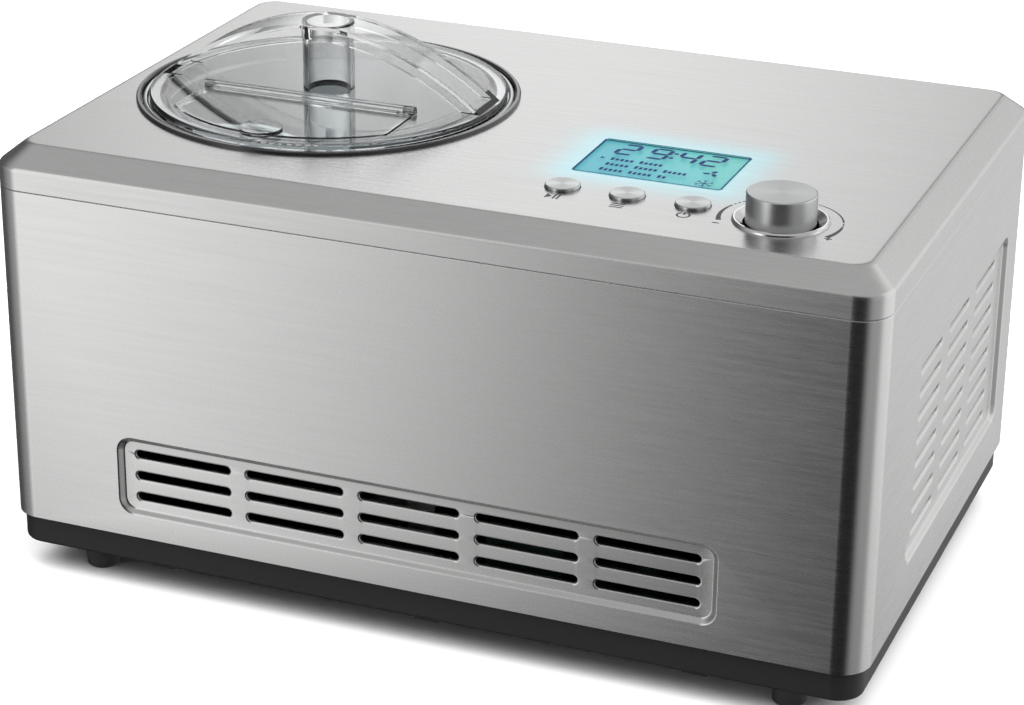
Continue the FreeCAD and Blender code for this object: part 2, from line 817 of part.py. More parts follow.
# ---- bowl, collar and chamber ----------------------------------------------------------------
def bowl_collar():
    """Black ring that lines the bowl opening and carries the bowl's rim on a shoulder."""
    inner = collar_inner
    wall = inner + collar_wall
    foot = chamber_inner
    crown = z_top + collar_crown
    shoulder = z_top - collar_shoulder
    bottom = z_top - collar_sleeve
    profile = [
        (wall, z_top), (collar_outer, z_top), (collar_outer - crown_draft, crown - crown_drop),
        (collar_outer - crown_run, crown), (inner + crown_run, crown),
        (inner + crown_draft, crown - crown_drop), (inner, z_top), (inner, shoulder),
        (foot + collar_edge, shoulder), (foot, shoulder - collar_edge), (foot, bottom),
        (foot + collar_foot_wall, bottom), (foot + collar_foot_wall, shoulder - collar_shoulder_wall),
        (wall, shoulder - collar_shoulder_wall),
    ]
    return turned(profile, bowl_x, bowl_y)


def ice_cream_bowl():
    """Spun aluminium bowl with a rolled rim and a hub over the drive shaft."""
    land = z_top - rim_drop
    under = bowl_floor - bowl_wall
    body = rod(bowl_outer, under, land, bowl_x, bowl_y)
    low_edges = [edge for edge in body.Edges if edge.BoundBox.ZMax < under + 0.01]
    body = body.makeFillet(bowl_floor_round + bowl_wall, low_edges)
    cavity = rod(bowl_inner, bowl_floor, land + 1, bowl_x, bowl_y)
    low_edges = [edge for edge in cavity.Edges if edge.BoundBox.ZMax < bowl_floor + 0.01]
    cavity = cavity.makeFillet(bowl_floor_round, low_edges)
    flange = rod(bead_centre, land - rim_bead, land, bowl_x, bowl_y)
    bead = torus(bead_centre, rim_bead, land, bowl_x, bowl_y)
    hub = rod(bowl_hub_outer, under, bowl_hub_top, bowl_x, bowl_y)
    bore = rod(bowl_hub_inner, under - 1, bowl_hub_top + 1, bowl_x, bowl_y)
    shell = body.fuse(flange).cut(cavity)
    return joined([shell, bead, hub]).cut(bore)


def cooling_chamber():
    """Aluminium cup that the bowl stands in, with a hub for the shaft's bushing."""
    bottom = chamber_floor - chamber_wall
    wall = ring(chamber_outer, chamber_inner, bottom, chamber_top, bowl_x, bowl_y)
    flange = ring(chamber_flange, chamber_inner, chamber_top - chamber_wall, chamber_top, bowl_x, bowl_y)
    floor = rod(chamber_outer, bottom, chamber_floor, bowl_x, bowl_y)
    hub = rod(chamber_hub_outer, bottom, hub_top, bowl_x, bowl_y)
    bore = rod(bushing_outer, bottom - 1, hub_top + 1, bowl_x, bowl_y)
    return joined([wall, flange, floor, hub]).cut(bore)


def evaporator_points():
    """Ends of the evaporator's two straight leads, at the foam's right-hand face."""
    reach = foam_right + coil_exit - bowl_x
    slope = coil_pitch / (2 * math.pi * coil_radius)
    low = coil_bottom - reach * slope
    high = coil_bottom + coil_rise + reach * slope
    return (V(bowl_x + reach, bowl_y + coil_radius, low), V(bowl_x + reach, bowl_y - coil_radius, high))


def evaporator_coil():
    """Copper tube wound around the chamber, with a straight lead at each end."""
    helix = Part.makeHelix(coil_pitch, coil_rise, coil_radius)
    helix.rotate(V(0, 0, 0), UP, 90)
    helix.translate(V(bowl_x, bowl_y, coil_bottom))
    low, high = evaporator_points()
    first_turn = V(bowl_x, bowl_y + coil_radius, coil_bottom)
    first = Part.makeLine(low, first_turn)
    last = Part.makeLine(V(bowl_x, bowl_y - coil_radius, coil_bottom + coil_rise), high)
    path = Part.Wire([first] + helix.Edges + [last])
    start = (first_turn - low).normalize()
    profile = Part.Wire([Part.makeCircle(coil_tube, low, start)])
    return path.makePipeShell([profile], True, True)


def chamber_insulation():
    """Foam block around the chamber, with channels for the coil's leads and the sensor."""
    centre = V(bowl_x, bowl_y, 0)
    block = plate(centre, 2 * foam_half, 2 * foam_half, foam_corner, foam_bottom, foam_top)
    cavity = coil_radius + coil_tube + foam_clearance
    low, high = evaporator_points()
    drop = (low.z - coil_bottom) / 4  # a quarter of a lead's fall, because its channel is level
    channel = coil_tube + lead_channel
    cuts = [
        rod(cavity, chamber_floor - chamber_wall - assembly_gap, foam_top + 1, bowl_x, bowl_y),
        rod(bushing_outer + foam_clearance, foam_bottom - 1, chamber_floor, bowl_x, bowl_y),
        rod_x(channel, bowl_x, foam_right + 1, low.y, coil_bottom + 3 * drop),
        rod_x(channel, bowl_x, foam_right + 1, high.y, high.z + drop),
        rod_x(sensor_radius + sensor_channel, sensor_x - 3, foam_right + 1, bowl_y, sensor_z),
    ]
    return block.cut(cuts)


def temperature_sensor():
    """Probe that lies in the foam against the coil."""
    end = sensor_x + sensor_length
    probe = rod_x(sensor_radius, sensor_x, end, bowl_y, sensor_z)
    collar = rod_x(sensor_radius + sensor_collar_wall, end, end + sensor_collar_length, bowl_y, sensor_z)
    return probe.fuse(collar).removeSplitter()


# ---- drive -----------------------------------------------------------------------------------
def gear_solid(teeth, phase_deg, low, high, at, hub, bore):
    """Spur gear with involute flanks, its first tooth at phase_deg, on a hub, with a bore."""
    pressure = math.radians(gear_pressure_deg)
    pitch = gear_module * teeth / 2
    base = pitch * math.cos(pressure)
    tip = pitch + gear_module * gear_addendum
    root = pitch - gear_module * gear_dedendum
    half_tooth = math.pi / (2 * teeth) - gear_backlash / (2 * pitch)
    spread = half_tooth + math.tan(pressure) - pressure
    steps = 5
    start = max(base, root)
    flank = []
    for step in range(steps + 1):
        radius = start + (tip - start) * step / steps
        roll = math.sqrt(max((radius / base) ** 2 - 1, 0.0))
        flank.append((radius, spread - (roll - math.atan(roll))))
    if root < base:
        flank.insert(0, (root, spread))
    points = []
    for tooth in range(teeth):
        middle = math.radians(phase_deg) + 2 * math.pi * tooth / teeth
        for radius, angle in flank:
            points.append(V(radius * math.cos(middle - angle), radius * math.sin(middle - angle), low))
        for radius, angle in reversed(flank):
            points.append(V(radius * math.cos(middle + angle), radius * math.sin(middle + angle), low))
    blank = Part.Face(Part.makePolygon(points + [points[0]])).extrude(V(0, 0, high - low))
    blank.translate(V(at.x, at.y, 0))
    hub_radius, hub_low, hub_high = hub
    through = rod(bore, min(low, hub_low) - 1, max(high, hub_high) + 1, at.x, at.y)
    return blank.fuse(rod(hub_radius, hub_low, hub_high, at.x, at.y)).cut(through)


def output_gear():
    """Large gear on the output shaft."""
    high = z_upper_gears + gear_face
    hub = (shaft_radius + output_hub_wall, z_upper_gears, high + output_hub_above)
    return gear_solid(output_teeth, compound_angle_deg, z_upper_gears, high, output_axis, hub, shaft_radius)


def intermediate_gear():
    """Compound gear: the large gear below, driven by the motor, and the small one above."""
    joint = z_lower_gears + pinion_face
    top = z_upper_gears + gear_face + compound_above
    hub = axle_radius + compound_hub_wall
    bore = axle_radius + bearing_gap
    large = gear_solid(compound_large_teeth, motor_angle_deg, z_lower_gears, joint, compound_axis,
                       (hub, z_lower_gears - pinion_margin, z_upper_gears), bore)
    phase = compound_angle_deg + 180 + 180 / compound_small_teeth
    small = gear_solid(compound_small_teeth, phase, joint, top, compound_axis,
                       (hub, z_upper_gears, top), bore)
    return large.fuse(small).removeSplitter()


def motor_shaft():
    """Steel shaft of the motor, with the pinion cut on its upper end."""
    phase = motor_angle_deg + 180 + 180 / pinion_teeth
    low = z_lower_gears - pinion_margin
    high = z_lower_gears + pinion_face + pinion_margin
    pinion = gear_solid(pinion_teeth, phase, low, high, motor_axis, (rotor_radius, low, high),
                        rotor_radius - 0.5)
    shaft = rod(rotor_radius, z_motor_bottom + 0.5, high + 0.5, motor_axis.x, motor_axis.y)
    return pinion.fuse(shaft).removeSplitter()


def output_shaft():
    """Steel shaft with a square top for the paddle."""
    shaft = rod(shaft_radius, z_gear_floor - bushing_recess, bowl_hub_top, bowl_x, bowl_y)
    half = shaft_square / 2
    square = box(V(bowl_x - half, bowl_y - half, bowl_hub_top - 0.5),
                 V(bowl_x + half, bowl_y + half, bowl_hub_top + shaft_square_length))
    return shaft.fuse(square).removeSplitter()


def shaft_bushings():
    """Two plain bearings: in the gearbox floor and in the chamber's hub."""
    inner = shaft_radius + bearing_gap
    seat = z_gear_floor - bushing_recess
    under_seal = hub_top - seal_height
    low = ring(bushing_outer, inner, seat, seat + bushing_low_length, bowl_x, bowl_y)
    high = ring(bushing_outer, inner, under_seal - bushing_high_length, under_seal, bowl_x, bowl_y)
    return group([low, high])


def shaft_seal():
    """Rubber seal at the top of the chamber's hub."""
    inner = shaft_radius + bearing_gap
    lip = shaft_radius + seal_lip
    profile = [
        (inner, hub_top - 0.3 * seal_height), (inner, hub_top - 0.1 * seal_height), (lip, hub_top),
        (bushing_outer, hub_top), (bushing_outer, hub_top - seal_height), (lip, hub_top - seal_height),
        (lip, hub_top - 0.6 * seal_height),
    ]
    return turned(profile, bowl_x, bowl_y)


def drive_frame():
    """Folded steel frame: a plate under the foam on four legs."""
    centre = V(bowl_x, bowl_y, 0)
    size = 2 * (foam_half - frame_inset)
    deck = plate(centre, size, size, foam_corner - frame_inset, z_frame, z_frame + frame_plate)
    parts = [deck]
    spread = foam_half - frame_leg_inset
    outer = V(frame_leg / 2, frame_leg / 2, 0)
    inner = outer - V(frame_leg_wall, frame_leg_wall, 0)
    for place in corners(spread, spread, bowl_x, bowl_y):
        leg = box(place - outer + V(0, 0, tray_floor), place + outer + V(0, 0, z_frame + 1))
        hollow = box(place - inner + V(0, 0, tray_floor + 2), place + inner + V(0, 0, z_frame))
        parts.append(leg.cut(hollow))
    opening = rod(bushing_outer + frame_hole_gap, z_frame - 1, z_frame + frame_plate + 1, bowl_x, bowl_y)
    return joined(parts).cut(opening)


def gearbox_bounds():
    """Lowest and highest corners of the gearbox in plan."""
    reach_out = gear_module * (output_teeth / 2 + 1) + gear_side_gap + gearbox_wall
    reach_mid = gear_module * (compound_large_teeth / 2 + 1) + gear_side_gap + gearbox_wall
    reach_pin = gear_module * (pinion_teeth / 2 + 1) + pinion_side_gap + gearbox_wall
    sets = ((output_axis, reach_out), (compound_axis, reach_mid), (motor_axis, reach_pin))
    low = V(min(a.x - r for a, r in sets), min(a.y - r for a, r in sets), 0)
    high = V(max(a.x + r for a, r in sets), max(a.y + r for a, r in sets), 0)
    return low, high


def gearbox_plate(low_z, high_z, inset):
    """Rounded plate with the gearbox's outline."""
    low, high = gearbox_bounds()
    size = high - low - V(2 * inset, 2 * inset, 0)
    return plate((low + high) * 0.5, size.x, size.y, gearbox_corner - inset, low_z, high_z)


def gearbox_screw_places():
    """Middles of the four gearbox screws, inside its corners."""
    low, high = gearbox_bounds()
    middle = (low + high) * 0.5
    reach = (high - low) * 0.5 - V(gearbox_screw_inset, gearbox_screw_inset, 0)
    return corners(reach.x, reach.y, middle.x, middle.y)


def gearbox_housing():
    """Moulded tub that holds the gears."""
    top = z_gearbox_top - gearbox_wall
    tub = gearbox_plate(z_gearbox_bottom, top, 0).cut(gearbox_plate(z_gear_floor, top + 1, gearbox_wall))
    seat = z_gear_floor - bushing_recess
    extras = [rod(bushing_outer + gearbox_bushing_wall, z_gearbox_bottom, seat + bushing_low_length,
                  output_axis.x, output_axis.y)]
    for place in gearbox_screw_places():
        extras.append(rod(gearbox_boss, z_gearbox_bottom, top, place.x, place.y))
    tub = joined([tub] + extras)
    holes = [
        rod(bushing_outer, seat, seat + bushing_low_length + 1, output_axis.x, output_axis.y),
        rod(axle_radius, z_gear_floor - axle_seat, z_gear_floor + 1, compound_axis.x, compound_axis.y),
        rod(rotor_radius + gearbox_rotor_gap, z_gearbox_bottom - 1, z_gear_floor + 1,
            motor_axis.x, motor_axis.y),
    ]
    holes += [rod(gearbox_screw_radius, top - gearbox_screw_length, top + 1, place.x, place.y)
              for place in gearbox_screw_places()]
    return tub.cut(holes)


def gearbox_cover():
    """Flat lid of the gearbox."""
    under = z_gearbox_top - gearbox_wall
    cover = gearbox_plate(under, z_gearbox_top, 0)
    holes = [
        rod(shaft_radius + gearbox_shaft_gap, under - 1, z_gearbox_top + 1, output_axis.x, output_axis.y),
        rod(axle_radius, under - 1, under + axle_seat, compound_axis.x, compound_axis.y),
    ]
    holes += [rod(gearbox_screw_radius, under - 1, z_gearbox_top + 1, place.x, place.y)
              for place in gearbox_screw_places()]
    return cover.cut(holes)


def gearbox_screws():
    """Four screws that hang the gearbox from the frame's plate."""
    return group([rod(gearbox_screw_radius, z_gearbox_top - gearbox_screw_length, z_frame, place.x, place.y)
                  for place in gearbox_screw_places()])


def intermediate_axle():
    """Fixed pin that the intermediate gear turns on."""
    return rod(axle_radius, z_gear_floor - axle_seat, z_gearbox_top - gearbox_wall + axle_seat,
               compound_axis.x, compound_axis.y)


def drive_motor():
    """Motor can, closed at both ends, with a bearing hole at each."""
    outer = rod(motor_radius, z_motor_bottom, z_gearbox_bottom, motor_axis.x, motor_axis.y)
    low_edges = [edge for edge in outer.Edges if edge.BoundBox.ZMax < z_motor_bottom + 0.01]
    outer = outer.makeFillet(motor_round, low_edges)
    cavity = rod(motor_radius - motor_wall, z_motor_bottom + motor_wall, z_gearbox_bottom - motor_wall,
                 motor_axis.x, motor_axis.y)
    bore = rod(rotor_radius + bearing_gap, z_motor_bottom - 1, z_gearbox_bottom + 1,
               motor_axis.x, motor_axis.y)
    return outer.cut([cavity, bore])


def motor_magnets():
    """Ring magnet inside the motor's can."""
    outer = motor_radius - motor_wall
    inset = motor_wall + magnet_end_gap
    return ring(outer, outer - magnet_wall, z_motor_bottom + inset, z_gearbox_bottom - inset,
                motor_axis.x, motor_axis.y)


def motor_armature():
    """Wound core on the motor's shaft, with slots along it."""
    reach = motor_radius - motor_wall - magnet_wall - armature_gap
    low = z_motor_bottom + motor_wall + armature_end_gap
    high = z_gearbox_bottom - motor_wall - armature_end_gap
    core = rod(reach, low, high, motor_axis.x, motor_axis.y)
    slots = []
    for index in range(armature_slots):
        middle = motor_axis + polar(reach, index * 360 / armature_slots)
        slots.append(rod(armature_slot_radius, low - 1, high + 1, middle.x, middle.y))
    return core.cut(slots + [rod(rotor_radius, low - 1, high + 1, motor_axis.x, motor_axis.y)])


# ---- lid, hatch and paddle -------------------------------------------------------------------
def hatch_outline(grow, low, high):
    """Plate with the hatch's outline: a round front clipped by two sides and a straight back."""
    reach = hatch_round + grow
    disc = rod(reach, low, high, bowl_x, bowl_y)
    half = hatch_half + grow
    strip = box(V(bowl_x - half, bowl_y - reach, low), V(bowl_x + half, bowl_y + hatch_back + grow, high))
    shape = disc.common(strip)
    radius = max(hatch_corner + grow, 0.5)
    upright = [edge for edge in shape.Edges if edge.BoundBox.ZLength > (high - low) * 0.99]
    return shape.makeFillet(radius, upright)


def bridge_arch(half, rise, y_low, y_high):
    """Solid under a parabolic arch along X, from the lid's plate up."""
    base = z_top + lid_plate_top
    steps = 16
    points = []
    for step in range(steps + 1):
        x = -half + 2 * half * step / steps
        points.append(V(bowl_x + x, y_low, base + rise * (1 - (x / half) ** 2)))
    curve = Part.BSplineCurve()
    curve.interpolate(points)
    closing = Part.makeLine(points[-1], points[0])
    face = Part.Face(Part.Wire([curve.toShape(), closing]))
    return face.extrude(V(0, y_high - y_low, 0))


def lid():
    """Clear lid: rim and spigot, plate with the hatch opening, hollow bridge and post."""
    plate_top = z_top + lid_plate_top
    plate_low = plate_top - lid_plate
    rim_low = z_top - rim_drop + fit
    base = joined([
        rod(lid_outer, rim_low, plate_top, bowl_x, bowl_y),
        rod(lid_spigot_outer, z_top - lid_spigot_depth, rim_low + 0.5, bowl_x, bowl_y),
    ])
    top_edges = [edge for edge in base.Edges if edge.BoundBox.ZMin > plate_top - 0.01]
    base = base.makeFillet(lid_edge_round, top_edges)
    base = base.cut(rod(lid_spigot_outer - lid_spigot_wall, z_top - lid_spigot_depth - 1, plate_low,
                        bowl_x, bowl_y))
    y_low = bowl_y - bridge_depth / 2
    y_high = bowl_y + bridge_depth / 2
    band = bridge_arch(bridge_half, bridge_rise, y_low, y_high)
    band = band.cut(bridge_arch(bridge_half - bridge_foot, bridge_rise - bridge_band, y_low - 1, y_high + 1))
    channel = bridge_arch(bridge_half - bridge_channel_foot, bridge_rise - bridge_skin,
                          y_low + bridge_skin, y_high - bridge_skin)
    ceiling = z_top + lid_headroom
    reach = rod(lid_outer, z_top, ceiling, bowl_x, bowl_y)
    band = band.cut(channel.cut(rod(post_outer - 0.5, z_top, ceiling, bowl_x, bowl_y))).common(reach)
    post = rod(post_outer, z_top - post_below, plate_top + bridge_rise, bowl_x, bowl_y)
    shape = joined([base, band, post])
    recess_low = plate_top - lid_plate + hatch_ledge_thickness
    cuts = [
        rod(post_inner, z_top - post_below - 1, plate_top + bridge_rise - post_roof, bowl_x, bowl_y),
        hatch_outline(hatch_side_gap, recess_low, plate_top + 1),
        hatch_outline(-hatch_ledge, plate_low - 1, plate_top + 1),
        rod_x(hinge_barrel + hinge_slot_gap, bowl_x - hinge_half, bowl_x + hinge_half, bowl_y + hinge_y,
              z_top + hinge_height),
    ]
    shape = shape.cut(cuts)
    ears = []
    for side in (-1, 1):
        start = bowl_x + side * hinge_half - (hinge_ear if side < 0 else 0)
        ear = rod_x(hinge_barrel, start, start + hinge_ear, bowl_y + hinge_y, z_top + hinge_height)
        stem = box(V(start, bowl_y + hinge_y - hinge_barrel, plate_top - 0.5),
                   V(start + hinge_ear, bowl_y + hinge_y + hinge_barrel, z_top + hinge_height))
        ears += [ear, stem]
    shape = joined([shape] + ears)
    pin_hole = rod_x(hinge_radius, bowl_x - hinge_half - hinge_ear - 1, bowl_x + hinge_half + hinge_ear + 1,
                     bowl_y + hinge_y, z_top + hinge_height)
    return shape.cut(pin_hole)


def hatch_hinge_pin():
    """Steel pin through the lid's ears and the hatch's barrel."""
    return rod_x(hinge_radius, bowl_x - hinge_half - hinge_ear, bowl_x + hinge_half + hinge_ear,
                 bowl_y + hinge_y, z_top + hinge_height)


def refill_hatch():
    """Clear hatch with a hinge barrel on its rear edge and a round thumb tab."""
    low = z_top + lid_plate_top - lid_plate + hatch_ledge_thickness + fit
    leaf = hatch_outline(0.0, low, low + hatch_thickness)
    barrel_low = bowl_x - hinge_half + fit
    barrel_high = bowl_x + hinge_half - fit
    barrel = rod_x(hinge_barrel, barrel_low, barrel_high, bowl_y + hinge_y, z_top + hinge_height)
    web = box(V(barrel_low + hatch_web_inset, bowl_y + hatch_back - hatch_web_depth, low),
              V(barrel_high - hatch_web_inset, bowl_y + hatch_back + fit, z_top + hinge_height))
    tab_low = z_top + lid_plate_top + hatch_tab_lift
    tab = rod(hatch_tab_radius, tab_low, tab_low + hatch_tab_thickness, bowl_x, bowl_y + hatch_tab_y)
    root = rod(tab_root_radius, low + 1, tab_low + 1, bowl_x, bowl_y + hatch_tab_y + tab_root_shift)
    shape = joined([leaf, barrel, web, tab, root])
    pin_hole = rod_x(hinge_radius + bearing_gap, barrel_low - 1, barrel_high + 1, bowl_y + hinge_y,
                     z_top + hinge_height)
    return shape.cut(pin_hole)


def paddle_arm(turn_deg):
    """One bowed blade with two windows, from the hub out to the bowl's wall."""
    low = paddle_bottom
    start = V(paddle_hub_outer - 1.5, 0, low)
    end = V(paddle_reach, 0, low)
    middle = (start + end) * 0.5 + V(0, -(end.x - start.x) * paddle_bow, 0)
    outer_arc = Part.Arc(start, middle, end).toShape()
    blade_face = outer_arc.extrude(V(0, 0, paddle_height))
    blade = blade_face.makeOffsetShape(paddle_blade, 0.01, fill=True)
    span = end.x - start.x
    windows = []
    reach = 2 * span * paddle_bow  # past the bow on both sides
    for share_low, share_high in paddle_windows:
        windows.append(box(V(start.x + span * share_low, -reach, low + paddle_window_margin),
                           V(start.x + span * share_high, reach, low + paddle_height - paddle_window_margin)))
    sweep = rod(paddle_reach + 0.5, low, low + paddle_height, 0, 0)
    low_edges = [edge for edge in sweep.Edges if edge.BoundBox.ZMax < low + 0.01]
    blade = blade.cut(windows).common(sweep.makeFillet(bowl_floor_round, low_edges))
    blade.rotate(V(0, 0, 0), UP, turn_deg)
    blade.translate(V(bowl_x, bowl_y, 0))
    return blade


def mixing_paddle():
    """Paddle: hollow hub over the bowl's hub, two blades, and a stem up into the lid's post."""
    socket = (shaft_square + fit) / 2
    roof = bowl_hub_top + shaft_square_length + fit
    hub = rod(paddle_hub_outer, paddle_bottom, roof + paddle_roof, bowl_x, bowl_y)
    stem = rod(paddle_pin, roof + paddle_roof / 2, z_top - paddle_top_gap, bowl_x, bowl_y)
    shape = joined([hub, stem, paddle_arm(0), paddle_arm(180)])
    over_hub = rod(paddle_hub_inner, paddle_bottom - 1, bowl_hub_top + 1, bowl_x, bowl_y)
    square = box(V(bowl_x - socket, bowl_y - socket, bowl_hub_top), V(bowl_x + socket, bowl_y + socket, roof))
    hollow_stem = rod(paddle_pin - paddle_stem_wall, roof + paddle_roof, z_top, bowl_x, bowl_y)
    return shape.cut([over_hub, square, hollow_stem])


# ---- controls --------------------------------------------------------------------------------
def button_places():
    """Middles of the three buttons."""
    return [V(button_first_x + index * button_pitch, button_y, 0) for index in range(3)]


def carrier_screw_places():
    """Middles of the control carrier's four screws."""
    middle_x = (carrier_left + carrier_right) / 2
    middle_y = (carrier_front + carrier_back) / 2
    return corners((carrier_right - carrier_left) / 2 - carrier_screw_inset,
                   (carrier_back - carrier_front) / 2 - carrier_screw_inset, middle_x, middle_y)


def display_window():
    """Clear window, level with the steel."""
    return plate(display_centre, display_size[0], display_size[1], display_corner, underside,
                 underside + window_thickness)


def display_module():
    """Backlit liquid crystal module under the window."""
    size_x, size_y = display_size
    glass = plate(display_centre, size_x, size_y, module_corner, carrier_top, underside - window_gap)
    light = plate(display_centre, size_x + 2 * backlight_border, size_y + 2 * backlight_border,
                  module_corner, board_top + backlight_stand, carrier_top)
    return glass.fuse(light).removeSplitter()


def push_button(place):
    """Turned metal cap with a retaining flange and a stem."""
    cap_low = underside - fit
    cap = rod(button_radius, cap_low, z_top + button_rise, place.x, place.y)
    rim = [edge for edge in cap.Edges if edge.BoundBox.ZMin > z_top + button_rise - 0.01]
    cap = cap.makeFillet(button_round, rim)
    flange = rod(button_flange, cap_low - button_flange_thickness, cap_low, place.x, place.y)
    stem_low = board_top + switch_height + switch_gap
    stem = rod(button_stem, stem_low, cap_low - 0.5, place.x, place.y)
    tip = rod(button_tip, stem_low - button_tip_length, stem_low + 0.5, place.x, place.y)
    return joined([cap, flange, stem, tip])


def knob_bezel():
    """Polished dished ring around the knob."""
    profile = [
        (bezel_sleeve_outer, z_top - bezel_sleeve), (bezel_sleeve_outer, z_top), (bezel_outer, z_top),
        (bezel_outer - 0.2, z_top + 0.7), (bezel_outer - 0.9, z_top + bezel_crown),
        (bezel_outer - 1.6, z_top + bezel_crown), (bezel_inner + 1.2, z_top - 0.3),
        (bezel_inner, z_top - 1.2), (bezel_inner, z_top - bezel_sleeve),
    ]
    return turned(profile, knob_centre.x, knob_centre.y)


def control_knob():
    """Brushed knob, hollow below, with a boss on the encoder's shaft."""
    low = z_top - knob_drop
    high = z_top + knob_rise
    body = rod(knob_radius, low, high, knob_centre.x, knob_centre.y)
    rim = [edge for edge in body.Edges if edge.BoundBox.ZMin > high - 0.01]
    body = body.makeFillet(knob_round, rim)
    hollow = rod(knob_radius - knob_wall, low - 1, high - knob_roof, knob_centre.x, knob_centre.y)
    boss = rod(encoder_shaft_radius + knob_boss_wall, low + knob_boss_drop, high - knob_roof / 2,
               knob_centre.x, knob_centre.y)
    bore = rod(encoder_shaft_radius, low, z_top + encoder_shaft_reach, knob_centre.x, knob_centre.y)
    return body.cut(hollow).fuse(boss).cut(bore).removeSplitter()


def rotary_encoder():
    """Encoder on the board: square body and threaded bushing around the shaft."""
    x, y = knob_centre.x, knob_centre.y
    body = plate(knob_centre, encoder_size, encoder_size, module_corner,
                 board_top, board_top + encoder_height)
    bushing = rod(encoder_shaft_radius + encoder_bushing_wall, board_top + encoder_height - 1,
                  z_top - knob_drop, x, y)
    bore = rod(encoder_shaft_radius + bearing_gap, board_top + encoder_floor, z_top, x, y)
    return body.fuse(bushing).cut(bore).removeSplitter()


def encoder_shaft():
    """Steel shaft between the encoder and the knob."""
    return rod(encoder_shaft_radius, board_top + encoder_floor + 0.5, z_top + encoder_shaft_reach,
               knob_centre.x, knob_centre.y)


def carrier_plate(radius, low, high):
    """Rounded plate with the carrier's outline."""
    middle = V((carrier_left + carrier_right) / 2, (carrier_front + carrier_back) / 2, 0)
    return plate(middle, carrier_right - carrier_left, carrier_back - carrier_front, radius, low, high)


def control_carrier():
    """Black moulded plate that holds the display, the buttons and the board under the cover."""
    low = carrier_low - 1
    high = carrier_top + 1
    border = 2 * (backlight_border + carrier_gap)
    board = carrier_plate(carrier_corner, carrier_low, carrier_top)
    pillars = [rod(pillar_radius, board_top, underside, place.x, place.y) for place in carrier_screw_places()]
    holes = [
        plate(display_centre, display_size[0] + border, display_size[1] + border, module_corner, low, high),
        rod(bezel_sleeve_outer + fit, low, high, knob_centre.x, knob_centre.y),
    ]
    for place in button_places():
        holes.append(rod(button_flange + 2 * carrier_gap, low, high, place.x, place.y))
    for place in carrier_screw_places():
        holes.append(rod(carrier_screw_radius, board_top - 1, board_top + carrier_screw_length + 1,
                         place.x, place.y))
    return joined([board] + pillars).cut(holes)


def control_board():
    """Green circuit board under the carrier, with a switch under each button and two chips."""
    parts = [carrier_plate(board_corner, board_low, board_top)]
    for offset, size in ((V(0, 0, 0), chip_size), (connector_offset, connector_size)):
        middle = display_centre + offset
        parts.append(box(V(middle.x - size.x / 2, middle.y - size.y / 2, board_low - size.z),
                         V(middle.x + size.x / 2, middle.y + size.y / 2, board_low + 0.2)))
    switch_top = board_top + switch_height
    holes = []
    for place in button_places():
        parts.append(plate(place, switch_size, switch_size, module_corner, board_top - 0.2, switch_top))
        holes.append(rod(button_tip + fit, switch_top - switch_recess, switch_top + 1, place.x, place.y))
    for place in carrier_screw_places():
        holes.append(rod(carrier_screw_radius + assembly_gap, board_low - 1, board_top + 1, place.x, place.y))
    return joined(parts).cut(holes)


def carrier_screws():
    """Screws that hold the board to the carrier's pillars."""
    screws = []
    for place in carrier_screw_places():
        head = rod(carrier_screw_head, board_low - carrier_screw_head_height, board_low, place.x, place.y)
        shank = rod(carrier_screw_radius, board_low - 0.2, board_top + carrier_screw_length, place.x, place.y)
        screws.append(head.fuse(shank).removeSplitter())
    return group(screws)


def power_board():
    """Mains board on stand-offs, with a transformer, a relay and two capacitors."""
    low = power_board_low
    top = low + V(0, 0, power_board_size.z - 0.2)
    pieces = [box(low, low + power_board_size)]
    for offset, size in (transformer, relay):
        pieces.append(box(top + offset, top + offset + size))
    for offset, radius, height in capacitors:
        pieces.append(rod(radius, top.z, top.z + height, low.x + offset.x, low.y + offset.y))
    middle = low + power_board_size * 0.5
    reach = power_board_size * 0.5 - V(5.0, 5.0, 0)
    for place in corners(reach.x, reach.y, middle.x, middle.y):
        pieces.append(rod(power_board_stand, tray_floor, low.z + 0.2, place.x, place.y))
    return joined(pieces)


# ---- refrigeration ---------------------------------------------------------------------------
def mount_places():
    """Middles of the compressor's four mounts."""
    return corners(mount_spread, mount_spread, compressor_x, compressor_y)


def compressor():
    """Welded steel compressor can on a square foot plate, with three tube nipples."""
    base = compressor_seat
    top = base + compressor_height
    waist = base + compressor_height * compressor_waist
    radius = compressor_radius
    profile = [
        (0, base + 1), (radius - 22, base + 1), (radius - 8, base + 5), (radius - 2, base + 14),
        (radius, base + 24), (radius, waist - 3), (radius + compressor_flange, waist - 3),
        (radius + compressor_flange, waist + 1), (radius - 1, waist + 1), (radius - 1, top - 26),
        (radius - 5, top - 14), (radius - 14, top - 5), (radius - 28, top), (0, top),
    ]
    can = turned(profile, compressor_x, compressor_y)
    foot_size = 2 * (mount_spread + compressor_foot_margin)
    foot = plate(V(compressor_x, compressor_y, 0), foot_size, foot_size, compressor_foot_corner,
                 base, base + compressor_foot)
    parts = [can, foot]
    cuts = []
    for place in nipple_places():
        parts.append(rod(nipple_radius, top - nipple_height, top + nipple_height, place.x, place.y))
        cuts.append(rod(line_radius + line_fit, top + line_seat, top + nipple_height + 1, place.x, place.y))
    for place in mount_places():
        cuts.append(rod(mount_grommet_neck + mount_gap, base - 1, base + compressor_foot + 1,
                        place.x, place.y))
    return joined(parts).cut(cuts)


def nipple_places():
    """Tube nipples on the compressor: discharge, suction, service."""
    return [
        V(compressor_x + nipple_spread, compressor_y + nipple_spread, 0),
        V(compressor_x - nipple_spread, compressor_y - nipple_spread, 0),
        V(compressor_x + nipple_spread, compressor_y - nipple_spread, 0),
    ]


